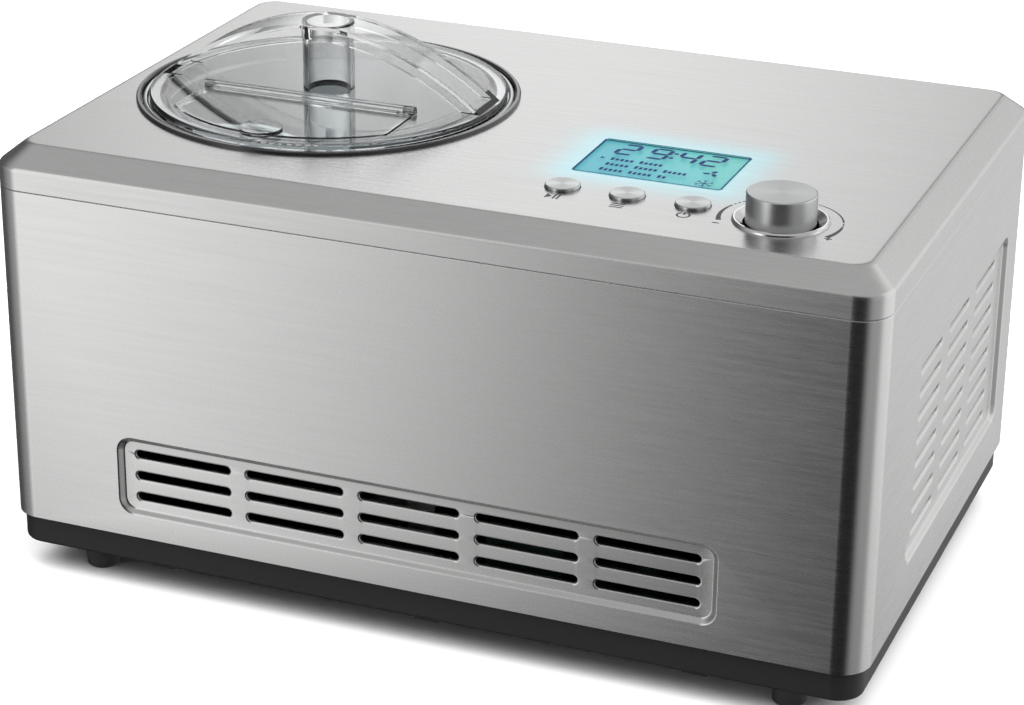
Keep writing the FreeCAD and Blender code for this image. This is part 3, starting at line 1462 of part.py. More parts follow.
def compressor_mounts():
    """Rubber grommets around the studs."""
    low = tray_floor + mount_boss_height
    top = compressor_seat + compressor_foot
    inner = mount_stud + mount_gap
    profile = [
        (inner, low), (mount_grommet, low), (mount_grommet_top, compressor_seat),
        (mount_grommet_neck, compressor_seat), (mount_grommet_neck, top), (inner, top),
    ]
    return group([turned(profile, place.x, place.y) for place in mount_places()])


def mount_nuts():
    """Flange nuts on the studs."""
    nuts = []
    low = compressor_seat + compressor_foot
    for place in mount_places():
        points = [place + polar(mount_nut_radius, 60 * index) + V(0, 0, low) for index in range(7)]
        nut = Part.Face(Part.makePolygon(points)).extrude(V(0, 0, mount_nut_height))
        nuts.append(nut.cut(rod(mount_stud, low - 1, low + mount_nut_height + 1, place.x, place.y)))
    return group(nuts)


def terminal_box():
    """Cover over the compressor's terminals and start relay."""
    near = compressor_y - compressor_radius
    low = compressor_seat + terminal_box_low
    high = low + terminal_box_height
    outer = box(V(compressor_x - terminal_box_half, near - terminal_box_reach, low),
                V(compressor_x + terminal_box_half, near + terminal_box_grip, high))
    clear = rod(compressor_radius + assembly_gap, low - 1, high + 1, compressor_x, compressor_y)
    edges = [edge for edge in outer.Edges if edge.BoundBox.YMax < near - terminal_box_reach + 0.1]
    return outer.makeFillet(terminal_box_round, edges).cut(clear)


def condenser_rows_z():
    """Heights of the condenser's tube rows, from the top down."""
    return [condenser_bottom + row_pitch * (index + 0.5) for index in reversed(range(condenser_rows))]


def condenser_holes(y):
    """Cutters for the tubes through one plate of the condenser."""
    return [rod_y(condenser_tube_radius + line_fit, y - 2, y + 2, x, z)
            for x in (column_near, column_far) for z in condenser_rows_z()]


def condenser_fins():
    """Thin fins across the condenser's tubes."""
    count = int(condenser_length / fin_pitch) - 1
    low_y = condenser_y - fin_pitch * (count - 1) / 2
    fins = []
    for index in range(count):
        y = low_y + fin_pitch * index
        fin = box(V(condenser_left, y, condenser_bottom),
                  V(condenser_right, y + fin_thickness, condenser_bottom + condenser_height))
        fins.append(fin.cut(condenser_holes(y)))
    return group(fins)


def condenser_end_plates():
    """Two steel end plates that stand on the tray."""
    plates = []
    half = end_plate_thickness / 2
    for side in (-1, 1):
        y = condenser_y + side * condenser_length / 2
        inwards = -side * end_plate_foot
        upright = box(V(condenser_left, y - half, tray_floor),
                      V(condenser_right, y + half, condenser_bottom + condenser_height))
        foot = box(V(condenser_left, y - half + min(inwards, 0), tray_floor),
                   V(condenser_right, y + half + max(inwards, 0), tray_floor + end_plate_thickness))
        plates.append(upright.fuse(foot).cut(condenser_holes(y)).removeSplitter())
    return group(plates)


def condenser_ends():
    """Points where the condenser's tube starts and ends."""
    y = condenser_y + condenser_length / 2 + tube_stub
    z = condenser_rows_z()[0]
    return V(column_near, y, z), V(column_far, y, z)


def condenser_tube():
    """One tube that runs down the near column and back up the far one."""
    rows = condenser_rows_z()
    near_end = condenser_y - condenser_length / 2 - tube_overhang
    far_end = condenser_y + condenser_length / 2 + tube_overhang
    start, end = condenser_ends()
    edges = []
    at = start
    stops = [(column_near, z) for z in rows] + [(column_far, z) for z in reversed(rows)]
    for index, (x, z) in enumerate(stops):
        goes_near = index % 2 == 0
        stop_y = near_end if goes_near else far_end
        last = index == len(stops) - 1
        stop = V(x, end.y if last else stop_y, z)
        edges.append(Part.makeLine(at, stop))
        if last:
            break
        next_x, next_z = stops[index + 1]
        after = V(next_x, stop_y, next_z)
        bulge = (after - stop).Length / 2 * (-1 if goes_near else 1)
        middle = (stop + after) * 0.5 + V(0, bulge, 0)
        edges.append(Part.Arc(stop, middle, after).toShape())
        at = after
    profile = Part.Wire([Part.makeCircle(condenser_tube_radius, start, V(0, 1, 0))])
    return Part.Wire(edges).makePipeShell([profile], True, True)


def fan_shroud():
    """Square fan frame with spokes and a cup for the motor."""
    y = condenser_y
    half = fan_size / 2
    frame = box(V(fan_left, y - half, fan_z - half), V(fan_right, y + half, fan_z + half))
    upright = [edge for edge in frame.Edges if edge.BoundBox.XLength > fan_thickness - 0.01]
    frame = frame.makeFillet(fan_corner, upright)
    bore = rod_x(fan_bore, fan_left - 1, fan_right + 1, y, fan_z)
    pockets = []
    for place in corners(half - fan_hole_inset, half - fan_hole_inset):
        pockets.append(rod_x(fan_hole, fan_left - 1, fan_right + 1, y + place.x, fan_z + place.y))
    inner = fan_left + fan_spoke_depth
    parts = [frame.cut([bore] + pockets), rod_x(fan_hub - 1, fan_left, inner, y, fan_z)]
    for index in range(fan_spokes):
        spoke = box(V(fan_left, y - fan_spoke_half, fan_z + 2),
                    V(inner, y + fan_spoke_half, fan_z + fan_bore + 1))
        spoke.rotate(V(0, y, fan_z), V(1, 0, 0), 360 / fan_spokes * index)
        parts.append(spoke)
    feet_box = box(V(fan_left, y - fan_foot_half, tray_floor),
                   V(fan_right, y + fan_foot_half, fan_z - half + 1))
    opening = fan_foot_half - fan_foot_wall
    window = box(V(fan_left - 1, y - opening, tray_floor + fan_spoke_depth),
                 V(fan_right + 1, y + opening, fan_z - half))
    parts.append(feet_box.cut(window))
    return joined(parts)


def fan_motor():
    """Fan stator, fixed to the shroud's cup, with a bore for the rotor's pin."""
    y = condenser_y
    radius = fan_hub - fan_cup_wall - fan_stator_gap
    low = fan_left + fan_spoke_depth
    body = rod_x(radius, low, fan_right - 3 * fan_end_gap, y, fan_z)
    return body.cut(rod_x(fan_pin + bearing_gap, low + 1, fan_right, y, fan_z))


def fan_rotor():
    """Cup-shaped hub with pitched blades and a pin."""
    y = condenser_y
    low = fan_left + fan_spoke_depth + 1
    high = fan_right - fan_end_gap
    hollow = rod_x(fan_hub - fan_cup_wall, low - 1, high - fan_spoke_depth, y, fan_z)
    cup = rod_x(fan_hub, low, high, y, fan_z).cut(hollow)
    pin = rod_x(fan_pin, low + 1, high - 1, y, fan_z)
    parts = [cup, pin]
    for index in range(fan_blades):
        sections = []
        for radius, (pitch_deg, chord) in ((fan_hub - 1, fan_blade_root), (fan_blade_tip, fan_blade_end)):
            angle = math.radians(pitch_deg)
            along = V(math.sin(angle), math.cos(angle), 0) * (chord / 2)
            thick = V(math.cos(angle), -math.sin(angle), 0) * (fan_blade_thickness / 2)
            middle = V((low + high) / 2, 0, radius)
            points = [middle - along - thick, middle + along - thick, middle + along + thick,
                      middle - along + thick]
            sections.append(Part.makePolygon(points + [points[0]]))
        blade = Part.makeLoft(sections, True, True)
        blade.rotate(V(0, 0, 0), V(1, 0, 0), 360 / fan_blades * index)
        blade.translate(V(0, y, fan_z))
        parts.append(blade)
    limits = rod_x(fan_blade_tip, low, high, y, fan_z)
    return joined(parts).common(limits.fuse(pin))


def filter_drier():
    """Copper drier with a tapered top."""
    base = drier_top - drier_length
    neck = line_radius + 1
    profile = [
        (0, base), (neck, base), (neck, base + drier_neck), (drier_radius, base + drier_taper),
        (drier_radius, drier_top - drier_taper), (neck, drier_top - drier_neck), (neck, drier_top),
        (0, drier_top),
    ]
    body = turned(profile, drier_x, drier_y)
    sockets = [
        rod(line_radius + line_fit, drier_top - drier_seat, drier_top + 1, drier_x, drier_y),
        rod(capillary_radius + line_fit, base - 1, base + drier_seat, drier_x, drier_y),
    ]
    return body.cut(sockets)


def discharge_tube():
    """From the compressor to the condenser."""
    nipple = nipple_places()[0]
    start = V(nipple.x, nipple.y, compressor_seat + compressor_height + line_seat)
    end = condenser_ends()[0]
    high = start.z + line_rise
    turn = end.y + 9
    return pipe([start, V(start.x, start.y, high), V(end.x, turn, high), V(end.x, turn, end.z), end],
                line_radius, line_bend)


def liquid_tube():
    """From the condenser to the drier."""
    start = condenser_ends()[1]
    end = V(drier_x, drier_y, drier_top - drier_seat)
    high = drier_top + 12
    bend = start + V(0, 22, 0)
    return pipe([start, bend, V(bend.x, bend.y, high), V(end.x, end.y, high), end], line_radius, line_bend)


def capillary_tube():
    """Thin tube from the drier to the evaporator."""
    base = drier_top - drier_length
    start = V(drier_x, drier_y, base + drier_seat)
    end = evaporator_points()[0]
    low = base - capillary_drop
    points = [
        start, V(start.x, start.y, low), V(start.x - 20, capillary_lane, low),
        V(end.x + 8, capillary_lane, low), V(end.x + 8, end.y, end.z), end,
    ]
    return pipe(points, capillary_radius, capillary_bend)


def suction_tube():
    """From the evaporator back to the compressor."""
    nipple = nipple_places()[1]
    end = V(nipple.x, nipple.y, compressor_seat + compressor_height + line_seat)
    start = evaporator_points()[1] + V(assembly_gap, 0, 0)
    high = end.z + line_rise
    return pipe([start, start + V(11, 0, 0), V(end.x - 10, end.y - 34, high), V(end.x, end.y, high), end],
                line_radius, suction_bend)


# ---- nodes -----------------------------------------------------------------------------------
NODES = {
    "base_tray": base_tray,
    "feet": feet,
    "foot_screws": foot_screws,
    "body_shell": drilled_shell,
    "rear_panel": rear_panel,
    "rear_screws": rear_screws,
    "cord_gland": cord_gland,
    "top_cover": top_cover,
    "bowl_collar": bowl_collar,
    "ice_cream_bowl": ice_cream_bowl,
    "cooling_chamber": cooling_chamber,
    "evaporator_coil": evaporator_coil,
    "chamber_insulation": chamber_insulation,
    "temperature_sensor": temperature_sensor,
    "drive_frame": drive_frame,
    "output_shaft": output_shaft,
    "shaft_bushings": shaft_bushings,
    "shaft_seal": shaft_seal,
    "gearbox_housing": gearbox_housing,
    "gearbox_cover": gearbox_cover,
    "gearbox_screws": gearbox_screws,
    "output_gear": output_gear,
    "intermediate_gear": intermediate_gear,
    "intermediate_axle": intermediate_axle,
    "drive_motor": drive_motor,
    "motor_magnets": motor_magnets,
    "motor_armature": motor_armature,
    "motor_shaft": motor_shaft,
    "lid": lid,
    "hatch_hinge_pin": hatch_hinge_pin,
    "refill_hatch": refill_hatch,
    "mixing_paddle": mixing_paddle,
    "display_window": display_window,
    "display_module": display_module,
    "knob_bezel": knob_bezel,
    "control_knob": control_knob,
    "rotary_encoder": rotary_encoder,
    "encoder_shaft": encoder_shaft,
    "control_carrier": control_carrier,
    "control_board": control_board,
    "carrier_screws": carrier_screws,
    "power_board": power_board,
    "compressor": compressor,
    "compressor_mounts": compressor_mounts,
    "mount_nuts": mount_nuts,
    "terminal_box": terminal_box,
    "condenser_fins": condenser_fins,
    "condenser_end_plates": condenser_end_plates,
    "condenser_tube": condenser_tube,
    "fan_shroud": fan_shroud,
    "fan_motor": fan_motor,
    "fan_rotor": fan_rotor,
    "filter_drier": filter_drier,
    "discharge_tube": discharge_tube,
    "liquid_tube": liquid_tube,
    "capillary_tube": capillary_tube,
    "suction_tube": suction_tube,
}


def build():
    """Writes every node to parts/ and prints its size."""
    os.makedirs("parts", exist_ok=True)
    shapes = {name: make() for name, make in NODES.items()}
    for index, name in enumerate(button_names):
        shapes[name] = push_button(button_places()[index])
    for name, shape in shapes.items():
        if not shape.isValid():
            print("not valid:", name)
        shape.exportStep(f"parts/{name}.step")
        print(f"{name:24s} {len(shape.Solids):3d} solids {shape.Volume / 1000:10.2f} cm3")


build()
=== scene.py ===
"""Looks of a countertop ice cream maker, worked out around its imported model.

Everything is in metres, +Z up, with the front face towards -Y.  Each sub-assembly is a class that
knows its own sizes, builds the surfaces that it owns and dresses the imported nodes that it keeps.
"""
import logging
import math
from dataclasses import dataclass, field, replace
from typing import Optional, Sequence, Union

import bmesh
import bpy
import numpy as np
from mathutils import Matrix, Vector
from mathutils.geometry import delaunay_2d_cdt


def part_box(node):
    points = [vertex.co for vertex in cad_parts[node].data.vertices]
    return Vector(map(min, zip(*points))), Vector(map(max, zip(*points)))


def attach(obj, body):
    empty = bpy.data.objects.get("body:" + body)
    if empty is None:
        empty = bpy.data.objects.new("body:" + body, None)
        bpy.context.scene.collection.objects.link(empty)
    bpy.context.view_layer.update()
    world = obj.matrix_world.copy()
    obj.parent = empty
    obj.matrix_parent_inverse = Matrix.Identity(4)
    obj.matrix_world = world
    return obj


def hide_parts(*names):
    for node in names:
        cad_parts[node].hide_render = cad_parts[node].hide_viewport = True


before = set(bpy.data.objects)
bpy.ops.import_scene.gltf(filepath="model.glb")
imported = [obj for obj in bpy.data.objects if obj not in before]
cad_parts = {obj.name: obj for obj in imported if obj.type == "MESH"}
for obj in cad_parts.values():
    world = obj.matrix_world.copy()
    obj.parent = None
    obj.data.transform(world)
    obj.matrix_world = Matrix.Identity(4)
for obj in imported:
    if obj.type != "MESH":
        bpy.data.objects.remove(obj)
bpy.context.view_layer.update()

log = logging.getLogger("ice_cream_maker")

Color = tuple[float, float, float]
Pair = tuple[float, float]
Operand = Union[float, "Signal"]


# ---- shader arithmetic -----------------------------------------------------------------------
class Signal:
    """An output socket of a shader node that takes part in arithmetic."""

    def __init__(self, graph: "Graph", socket: bpy.types.NodeSocket) -> None:
        """Wraps a socket.

        Args:
            graph: The node tree that the socket is in.
            socket: The output socket.
        """
        self.graph = graph
        self.socket = socket

    def _math(self, operation: str, *operands: Operand) -> "Signal":
        """Adds one Math node on the operands."""
        return self.graph.node("ShaderNodeMath", {"operation": operation}, dict(enumerate(operands)))

    def __add__(self, other: Operand) -> "Signal":
        """Sum."""
        return self._math("ADD", self, other)

    def __sub__(self, other: Operand) -> "Signal":
        """Difference."""
        return self._math("SUBTRACT", self, other)

    def __rsub__(self, other: Operand) -> "Signal":
        """Difference from a plain number."""
        return self._math("SUBTRACT", other, self)

    def __mul__(self, other: Operand) -> "Signal":
        """Product."""
        return self._math("MULTIPLY", self, other)

    def __truediv__(self, other: Operand) -> "Signal":
        """Quotient."""
        return self._math("DIVIDE", self, other)

    def __rtruediv__(self, other: Operand) -> "Signal":
        """Quotient of a plain number."""
        return self._math("DIVIDE", other, self)

    def __pow__(self, other: Operand) -> "Signal":
        """Power."""
        return self._math("POWER", self, other)

    def __abs__(self) -> "Signal":
        """Size without its sign."""
        return self._math("ABSOLUTE", self)

    __radd__ = __add__
    __rmul__ = __mul__

    def at_least(self, other: Operand) -> "Signal":
        """The larger of two values."""
        return self._math("MAXIMUM", self, other)

    def root(self) -> "Signal":
        """Square root."""
        return self._math("SQRT", self)

    def exponential(self) -> "Signal":
        """e raised to this value."""
        return self._math("EXPONENT", self)

    def angle(self, other: "Signal") -> "Signal":
        """Angle in degrees whose sine and cosine go as this value and the other."""
        return self._math("ARCTAN2", self, other) * math.degrees(1.0)

    def rise(self, low: float, high: float) -> "Signal":
        """Smooth step from 0 at low to 1 at high."""
        return self.graph.node("ShaderNodeMapRange", {"interpolation_type": "SMOOTHSTEP"},
                               {0: self, 1: low, 2: high, 3: 0.0, 4: 1.0})


class Graph:
    """A node tree that is written as expressions."""

    def __init__(self, tree: bpy.types.NodeTree) -> None:
        """Empties the tree and keeps it."""
        tree.nodes.clear()
        self.tree = tree

    def node(self, kind: str, settings: Optional[dict] = None, inputs: Optional[dict] = None,
             output: Union[int, str] = 0) -> Signal:
        """Adds a node.

        Args:
            kind: The node's type.
            settings: Properties of the node, set first.
            inputs: Values or signals, by the index or the name of the input.
            output: The output that is wanted.

        Returns:
            That output as a signal.
        """
        made = self.tree.nodes.new(kind)
        for name, value in (settings or {}).items():
            setattr(made, name, value)
        for key, value in (inputs or {}).items():
            if isinstance(value, Signal):
                self.tree.links.new(value.socket, made.inputs[key])
            else:
                made.inputs[key].default_value = value
        return Signal(self, made.outputs[output])

    def place(self, output: str = "Object") -> Signal:
        """Position on the piece, as a vector."""
        return self.node("ShaderNodeTexCoord", output=output)

    def split(self, vector: Signal) -> tuple[Signal, Signal, Signal]:
        """The three numbers of a vector."""
        first = self.node("ShaderNodeSeparateXYZ", inputs={0: vector})
        outputs = first.socket.node.outputs
        return first, Signal(self, outputs[1]), Signal(self, outputs[2])

    def vector(self, x: Operand, y: Operand, z: Operand) -> Signal:
        """A vector from three values."""
        return self.node("ShaderNodeCombineXYZ", inputs={0: x, 1: y, 2: z})

    def noise(self, vector: Signal, scale: float = 1.0, detail: float = 2.0) -> Signal:
        """Soft noise from 0 to 1."""
        return self.node("ShaderNodeTexNoise", inputs={"Vector": vector, "Scale": scale, "Detail": detail})

    def blend(self, factor: Operand, first: Union[Color, Signal], second: Union[Color, Signal]) -> Signal:
        """Colour between two colours."""
        ends = [end if isinstance(end, Signal) else (*end, 1.0) for end in (first, second)]
        return self.node("ShaderNodeMix", {"data_type": "RGBA"}, {0: factor, 6: ends[0], 7: ends[1]}, 2)

    def shade(self, color: Union[Color, Signal], amount: Signal) -> Signal:
        """A colour made lighter or darker by a factor near 1."""
        return self.node("ShaderNodeVectorMath", {"operation": "SCALE"}, {0: color, 3: amount})

    def bump(self, height: Signal, distance: float, strength: float = 1.0) -> Signal:
        """Normal of a surface with that height over it."""
        return self.node("ShaderNodeBump",
                         inputs={"Strength": strength, "Distance": distance, "Height": height})


# ---- finishes --------------------------------------------------------------------------------
@dataclass(frozen=True)
class Finish:
    """One material: even values, with what changes over the surface added by paint."""

    name: str
    color: Color
    roughness: float = 0.5
    metallic: float = 0.0
    coat: float = 0.0
    anisotropic: float = 0.0
    grain_turn: float = 0.0
    specular: float = 0.5

    def paint(self, graph: Graph) -> dict:
        """Channels of the shader that change over the surface."""
        return {}

    def cover(self, graph: Graph, shader: Signal) -> Signal:
        """The shader that the output shows."""
        return shader

    def material(self) -> bpy.types.Material:
        """Makes the material once and returns it."""
        name = "finish_" + self.name
        found = bpy.data.materials.get(name)
        if found is not None:
            return found
        made = bpy.data.materials.new(name)
        made.use_nodes = True
        graph = Graph(made.node_tree)
        channels = {
            "Base Color": (*self.color, 1.0), "Roughness": self.roughness, "Metallic": self.metallic,
            "Coat Weight": self.coat, "Anisotropic": self.anisotropic,
            "Anisotropic Rotation": self.grain_turn, "Specular IOR Level": self.specular,
        }
        channels.update(self.paint(graph))
        shader = graph.node("ShaderNodeBsdfPrincipled", inputs=channels)
        output = graph.tree.nodes.new("ShaderNodeOutputMaterial")
        graph.tree.links.new(self.cover(graph, shader).socket, output.inputs[0])
        return made


@dataclass(frozen=True)
class Moulded(Finish):
    """Plastic, rubber or paint with a fine grain and slight unevenness."""

    grain: float = 900.0
    depth: float = 0.00002
    spread: float = 0.08

    def paint(self, graph: Graph) -> dict:
        """Grain in the relief, broad clouds in colour and gloss."""
        place = graph.place()
        fine = graph.noise(place, self.grain, 2.0)
        broad = graph.noise(place, self.grain / 40, 3.0)
        return {
            "Base Color": graph.shade(self.color, 1.0 + (broad - 0.5) * self.spread * 2),
            "Roughness": self.roughness + (broad - 0.5) * self.spread + (fine - 0.5) * self.spread,
            "Normal": graph.bump(fine, self.depth),
        }


@dataclass(frozen=True)
class Brushed(Finish):
    """Sheet metal brushed along the front, the top and the sides."""

    length: float = 90.0
    fineness: float = 2600.0
    contrast: float = 0.10
    depth: float = 0.000006
    side_from: Pair = (0.55, 0.85)
    scales: Pair = (1.0, 0.16)

    def grain(self, graph: Graph) -> tuple[Signal, Signal]:
        """Fine and broad streaks: along X in front and on top, and along Y on the two sides."""
        x, y, z = graph.split(graph.place())
        normal = graph.node("ShaderNodeNewGeometry", output="Normal")
        side = abs(graph.split(normal)[0]).rise(*self.side_from)
        along_x = graph.vector(x * self.length, y * self.fineness, z * self.fineness)
        along_y = graph.vector(x * self.fineness, y * self.length, z * self.fineness)
        streaks = []
        for scale in self.scales:
            first = graph.noise(along_x, scale, 3.0)
            second = graph.noise(along_y, scale, 3.0)
            streaks.append(first * (1.0 - side) + second * side)
        return streaks[0], streaks[1]

    def paint(self, graph: Graph) -> dict:
        """Streaks in colour, gloss and relief."""
        fine, broad = self.grain(graph)
        level = 1.0 + (fine - 0.5) * self.contrast * 2 + (broad - 0.5) * self.contrast
        return {
            "Base Color": graph.shade(self.color, level),
            "Roughness": self.roughness + (fine - 0.5) * self.contrast + (broad - 0.5) * self.contrast,
            "Normal": graph.bump(fine, self.depth),
        }


@dataclass(frozen=True)
class LitBrushed(Brushed):
    """Brushed sheet with coloured light spilling over it from a rectangular window."""

    centre: Pair = (0.0, 0.0)
    half: Pair = (0.03, 0.02)
    reach: float = 0.013
    tint: Color = (0.36, 0.80, 0.90)
    cover_share: float = 0.45
    glow: float = 0.10

    def paint(self, graph: Graph) -> dict:
        """Adds light that falls off with the distance from the window's edge."""
        channels = super().paint(graph)
        x, y, _ = graph.split(graph.place())
        out_x = (abs(x - self.centre[0]) - self.half[0]).at_least(0.0)
        out_y = (abs(y - self.centre[1]) - self.half[1]).at_least(0.0)
        distance = (out_x * out_x + out_y * out_y).root() / self.reach
        light = (distance * distance * -1.0).exponential()
        channels["Base Color"] = graph.blend(light * self.cover_share, channels["Base Color"], self.tint)
        channels["Emission Color"] = graph.blend(light, (0.0, 0.0, 0.0), self.tint)
        channels["Emission Strength"] = self.glow
        return channels


@dataclass(frozen=True)
class Turned(Finish):
    """Metal turned on a lathe, with rings around an upright axis."""

    centre: Pair = (0.0, 0.0)
    pitch: float = 2400.0
    contrast: float = 0.08
    depth: float = 0.000004

    def paint(self, graph: Graph) -> dict:
        """Rings in colour, gloss and relief, as noise on the radius and the height."""
        x, y, z = graph.split(graph.place())
        off_x = x - self.centre[0]
        off_y = y - self.centre[1]
        radius = (off_x * off_x + off_y * off_y).root()
        rings = graph.noise(graph.vector(radius * self.pitch, z * self.pitch, 0.0), 1.0, 3.0)
        return {
            "Base Color": graph.shade(self.color, 1.0 + (rings - 0.5) * self.contrast * 2),
            "Roughness": self.roughness + (rings - 0.5) * self.contrast,
            "Normal": graph.bump(rings, self.depth),
        }


@dataclass(frozen=True)
class Cloudy(Finish):
    """Drawn or cast metal with soft stains and a little relief."""

    size: float = 60.0
    contrast: float = 0.2
    stain: Color = (0.3, 0.2, 0.15)
    stained_from: Pair = (0.35, 0.8)
    unevenness: float = 0.06
    depth: float = 0.00001

    def paint(self, graph: Graph) -> dict:
        """Stains in colour and gloss."""
        place = graph.place()
        clouds = graph.noise(place, self.size, 4.0)
        fine = graph.noise(place, self.size * 25, 2.0)
        stained = clouds.rise(*self.stained_from) * self.contrast * 2
        uneven = (clouds - 0.5) * self.contrast
        return {
            "Base Color": graph.blend(stained, self.color, self.stain),
            "Roughness": self.roughness + uneven + (fine - 0.5) * self.unevenness,
            "Normal": graph.bump(fine, self.depth),
        }


@dataclass(frozen=True)
class Foamed(Finish):
    """Cut foam with open cells."""

    cell: float = 500.0
    depth: float = 0.0004

    def paint(self, graph: Graph) -> dict:
        """Cells in colour and relief."""
        cells = graph.node("ShaderNodeTexVoronoi", inputs={"Vector": graph.place(), "Scale": self.cell})
        return {
            "Base Color": graph.shade(self.color, 0.82 + cells * 0.3),
            "Roughness": 0.9 - cells * 0.1,
            "Normal": graph.bump(cells, self.depth),
        }


@dataclass(frozen=True)
class Circuit(Finish):
    """Solder mask over copper tracks, in colours darkened to near black as painted shade for the dark
    inside of the housing.
    """

    track: float = 260.0
    # Tracks near black, far darker than copper under solder mask: painted shade for the dark inside of the
    # housing.
    track_color: Color = (0.012, 0.03, 0.02)
    offset: float = 0.37
    mortar: float = 0.08
    stain: float = 0.15
    depth: float = 0.00004

    def paint(self, graph: Graph) -> dict:
        """Tracks as a brick pattern, with an uneven gloss."""
        place = graph.place()
        tracks = graph.node("ShaderNodeTexBrick", {"offset": self.offset},
                            {"Vector": place, "Scale": self.track, "Mortar Size": self.mortar}, 1)
        clouds = graph.noise(place, 700.0, 1.0)
        return {
            "Base Color": graph.blend(tracks, self.color, self.track_color),
            "Roughness": self.roughness + (clouds - 0.5) * self.stain,
            "Normal": graph.bump(tracks, self.depth),
        }


@dataclass(frozen=True)
class Clear(Finish):
    """Clear plastic that bends what is seen through it and lets light through to what is inside."""

    ior: float = 1.49
    haze: float = 0.0
    passed: Color = (0.80, 0.82, 0.83)

    def paint(self, graph: Graph) -> dict:
        """A faint unevenness in the polish."""
        clouds = graph.noise(graph.place(), 55.0, 2.0)
        return {
            "Transmission Weight": 1.0, "IOR": self.ior,
            "Roughness": (self.roughness + self.haze * clouds).at_least(0.0),
        }

    def cover(self, graph: Graph, shader: Signal) -> Signal:
        """Shadow rays go straight through, with a loss."""
        shadow = graph.node("ShaderNodeLightPath", output="Is Shadow Ray")
        through = graph.node("ShaderNodeBsdfTransparent", inputs={0: (*self.passed, 1.0)})
        return graph.node("ShaderNodeMixShader", inputs={0: shadow, 1: shader, 2: through})


@dataclass(frozen=True)
class Pane(Finish):
    """Thin clear window: mostly seen through, with a polished face."""

    opacity: float = 0.1
    dust: float = 0.04

    def paint(self, graph: Graph) -> dict:
        """Nearly clear, with faint dust."""
        specks = graph.noise(graph.place(), 900.0, 2.0)
        return {"Alpha": self.opacity + (specks - 0.5) * self.dust}


@dataclass(frozen=True)
class Backlit(Finish):
    """Lit display face that shades from one corner to the other."""

    centre: Pair = (0.0, 0.0)
    half: Pair = (0.03, 0.02)
    first: Color = (0.09, 0.54, 0.68)
    second: Color = (0.20, 0.74, 0.66)
    glow: float = 0.64
    slope: Pair = (0.8, 0.3)
    slope_from: Pair = (-0.9, 1.2)
    corner_loss: float = 0.25

    def paint(self, graph: Graph) -> dict:
        """Colour across the face, brighter in its middle."""
        x, y, _ = graph.split(graph.place())
        across = (x - self.centre[0]) / self.half[0]
        away = (y - self.centre[1]) / self.half[1]
        share = (across * self.slope[0] + away * self.slope[1]).rise(*self.slope_from)
        middle = 1.0 - (across * across + away * away).rise(0.0, 3.0) * self.corner_loss
        lit = graph.blend(share, self.first, self.second)
        return {"Emission Color": graph.shade(lit, middle), "Emission Strength": self.glow}


# ---- surfaces --------------------------------------------------------------------------------
@dataclass(frozen=True)
class Plane:
    """A flat drawing board in space: outward is across x up, and depth runs inwards."""

    origin: tuple[float, float, float]
    across: tuple[float, float, float]
    up: tuple[float, float, float]

    def place(self, flat: np.ndarray, depth: Union[float, np.ndarray] = 0.0) -> np.ndarray:
        """Points in space: origin + u across + v up - depth outward.

        Args:
            flat: Points (u, v), in an array whose last axis is 2 long.
            depth: Depth of each point.

        Returns:
            The points, in an array whose last axis is 3 long.
        """
        across, up = np.array(self.across), np.array(self.up)
        outward = np.cross(across, up)
        inwards = -outward * np.asarray(depth, float)[..., None]
        return np.array(self.origin) + flat[..., :1] * across + flat[..., 1:] * up + inwards


def rounded_ring(centre: Pair, half: Pair, radius: float, steps: int = 8) -> np.ndarray:
    """Rounded rectangle, anticlockwise: four corner arcs, joined by the straight sides.

    A corner's arc is its middle, half - radius out both ways, plus radius (cos a, sin a) over a
    quarter turn.  A circle is the case where the radius is both halves.

    Args:
        centre: Middle of the shape.
        half: Half of its two sides.
        radius: Radius of its corners.
        steps: Parts of each arc.

    Returns:
        4 (steps + 1) points, (u, v).
    """
    quadrant = np.arange(4)[:, None] * np.pi / 2
    angle = quadrant + np.linspace(0, np.pi / 2, steps + 1)
    sign_u = np.sign(np.cos(quadrant + np.pi / 4))
    sign_v = np.sign(np.sin(quadrant + np.pi / 4))
    u = centre[0] + sign_u * (half[0] - radius) + radius * np.cos(angle)
    v = centre[1] + sign_v * (half[1] - radius) + radius * np.sin(angle)
    return np.stack([u.ravel(), v.ravel()], 1)


def rounded_profile(points: Sequence[Pair], radii: Sequence[float], steps: int = 6) -> np.ndarray:
    """Line of straight runs whose inner corners are rounded.

    Each corner is swapped for the quadratic curve (1-t)^2 a + 2 t (1-t) corner + t^2 b, where a and b
    lie on its two runs, one radius away.

    Args:
        points: The corners, first to last.
        radii: How far from each inner corner its curve starts.
        steps: Parts of each curve.

    Returns:
        The points of the line.
    """
    corners = np.array(points, float)
    t = np.linspace(0, 1, steps + 1)[:, None]
    pieces = [corners[:1]]
    for before, corner, after, radius in zip(corners, corners[1:], corners[2:], radii):
        start = corner + (before - corner) / np.linalg.norm(before - corner) * radius
        end = corner + (after - corner) / np.linalg.norm(after - corner) * radius
        pieces.append((1 - t) ** 2 * start + 2 * t * (1 - t) * corner + t ** 2 * end)
    pieces.append(corners[-1:])
    return np.concatenate(pieces)


def inside(points: np.ndarray, outline: np.ndarray) -> np.ndarray:
    """True for the points inside a closed outline: a ray along +u crosses it an odd number of times."""
    start, end = outline, np.roll(outline, -1, 0)
    px, py = points[:, :1], points[:, 1:]
    spans = (start[:, 1] > py) != (end[:, 1] > py)
    rise = np.where(end[:, 1] == start[:, 1], 1e-12, end[:, 1] - start[:, 1])
    crossing = start[:, 0] + (py - start[:, 1]) * (end[:, 0] - start[:, 0]) / rise
    return (spans & (px < crossing)).sum(1) % 2 == 1


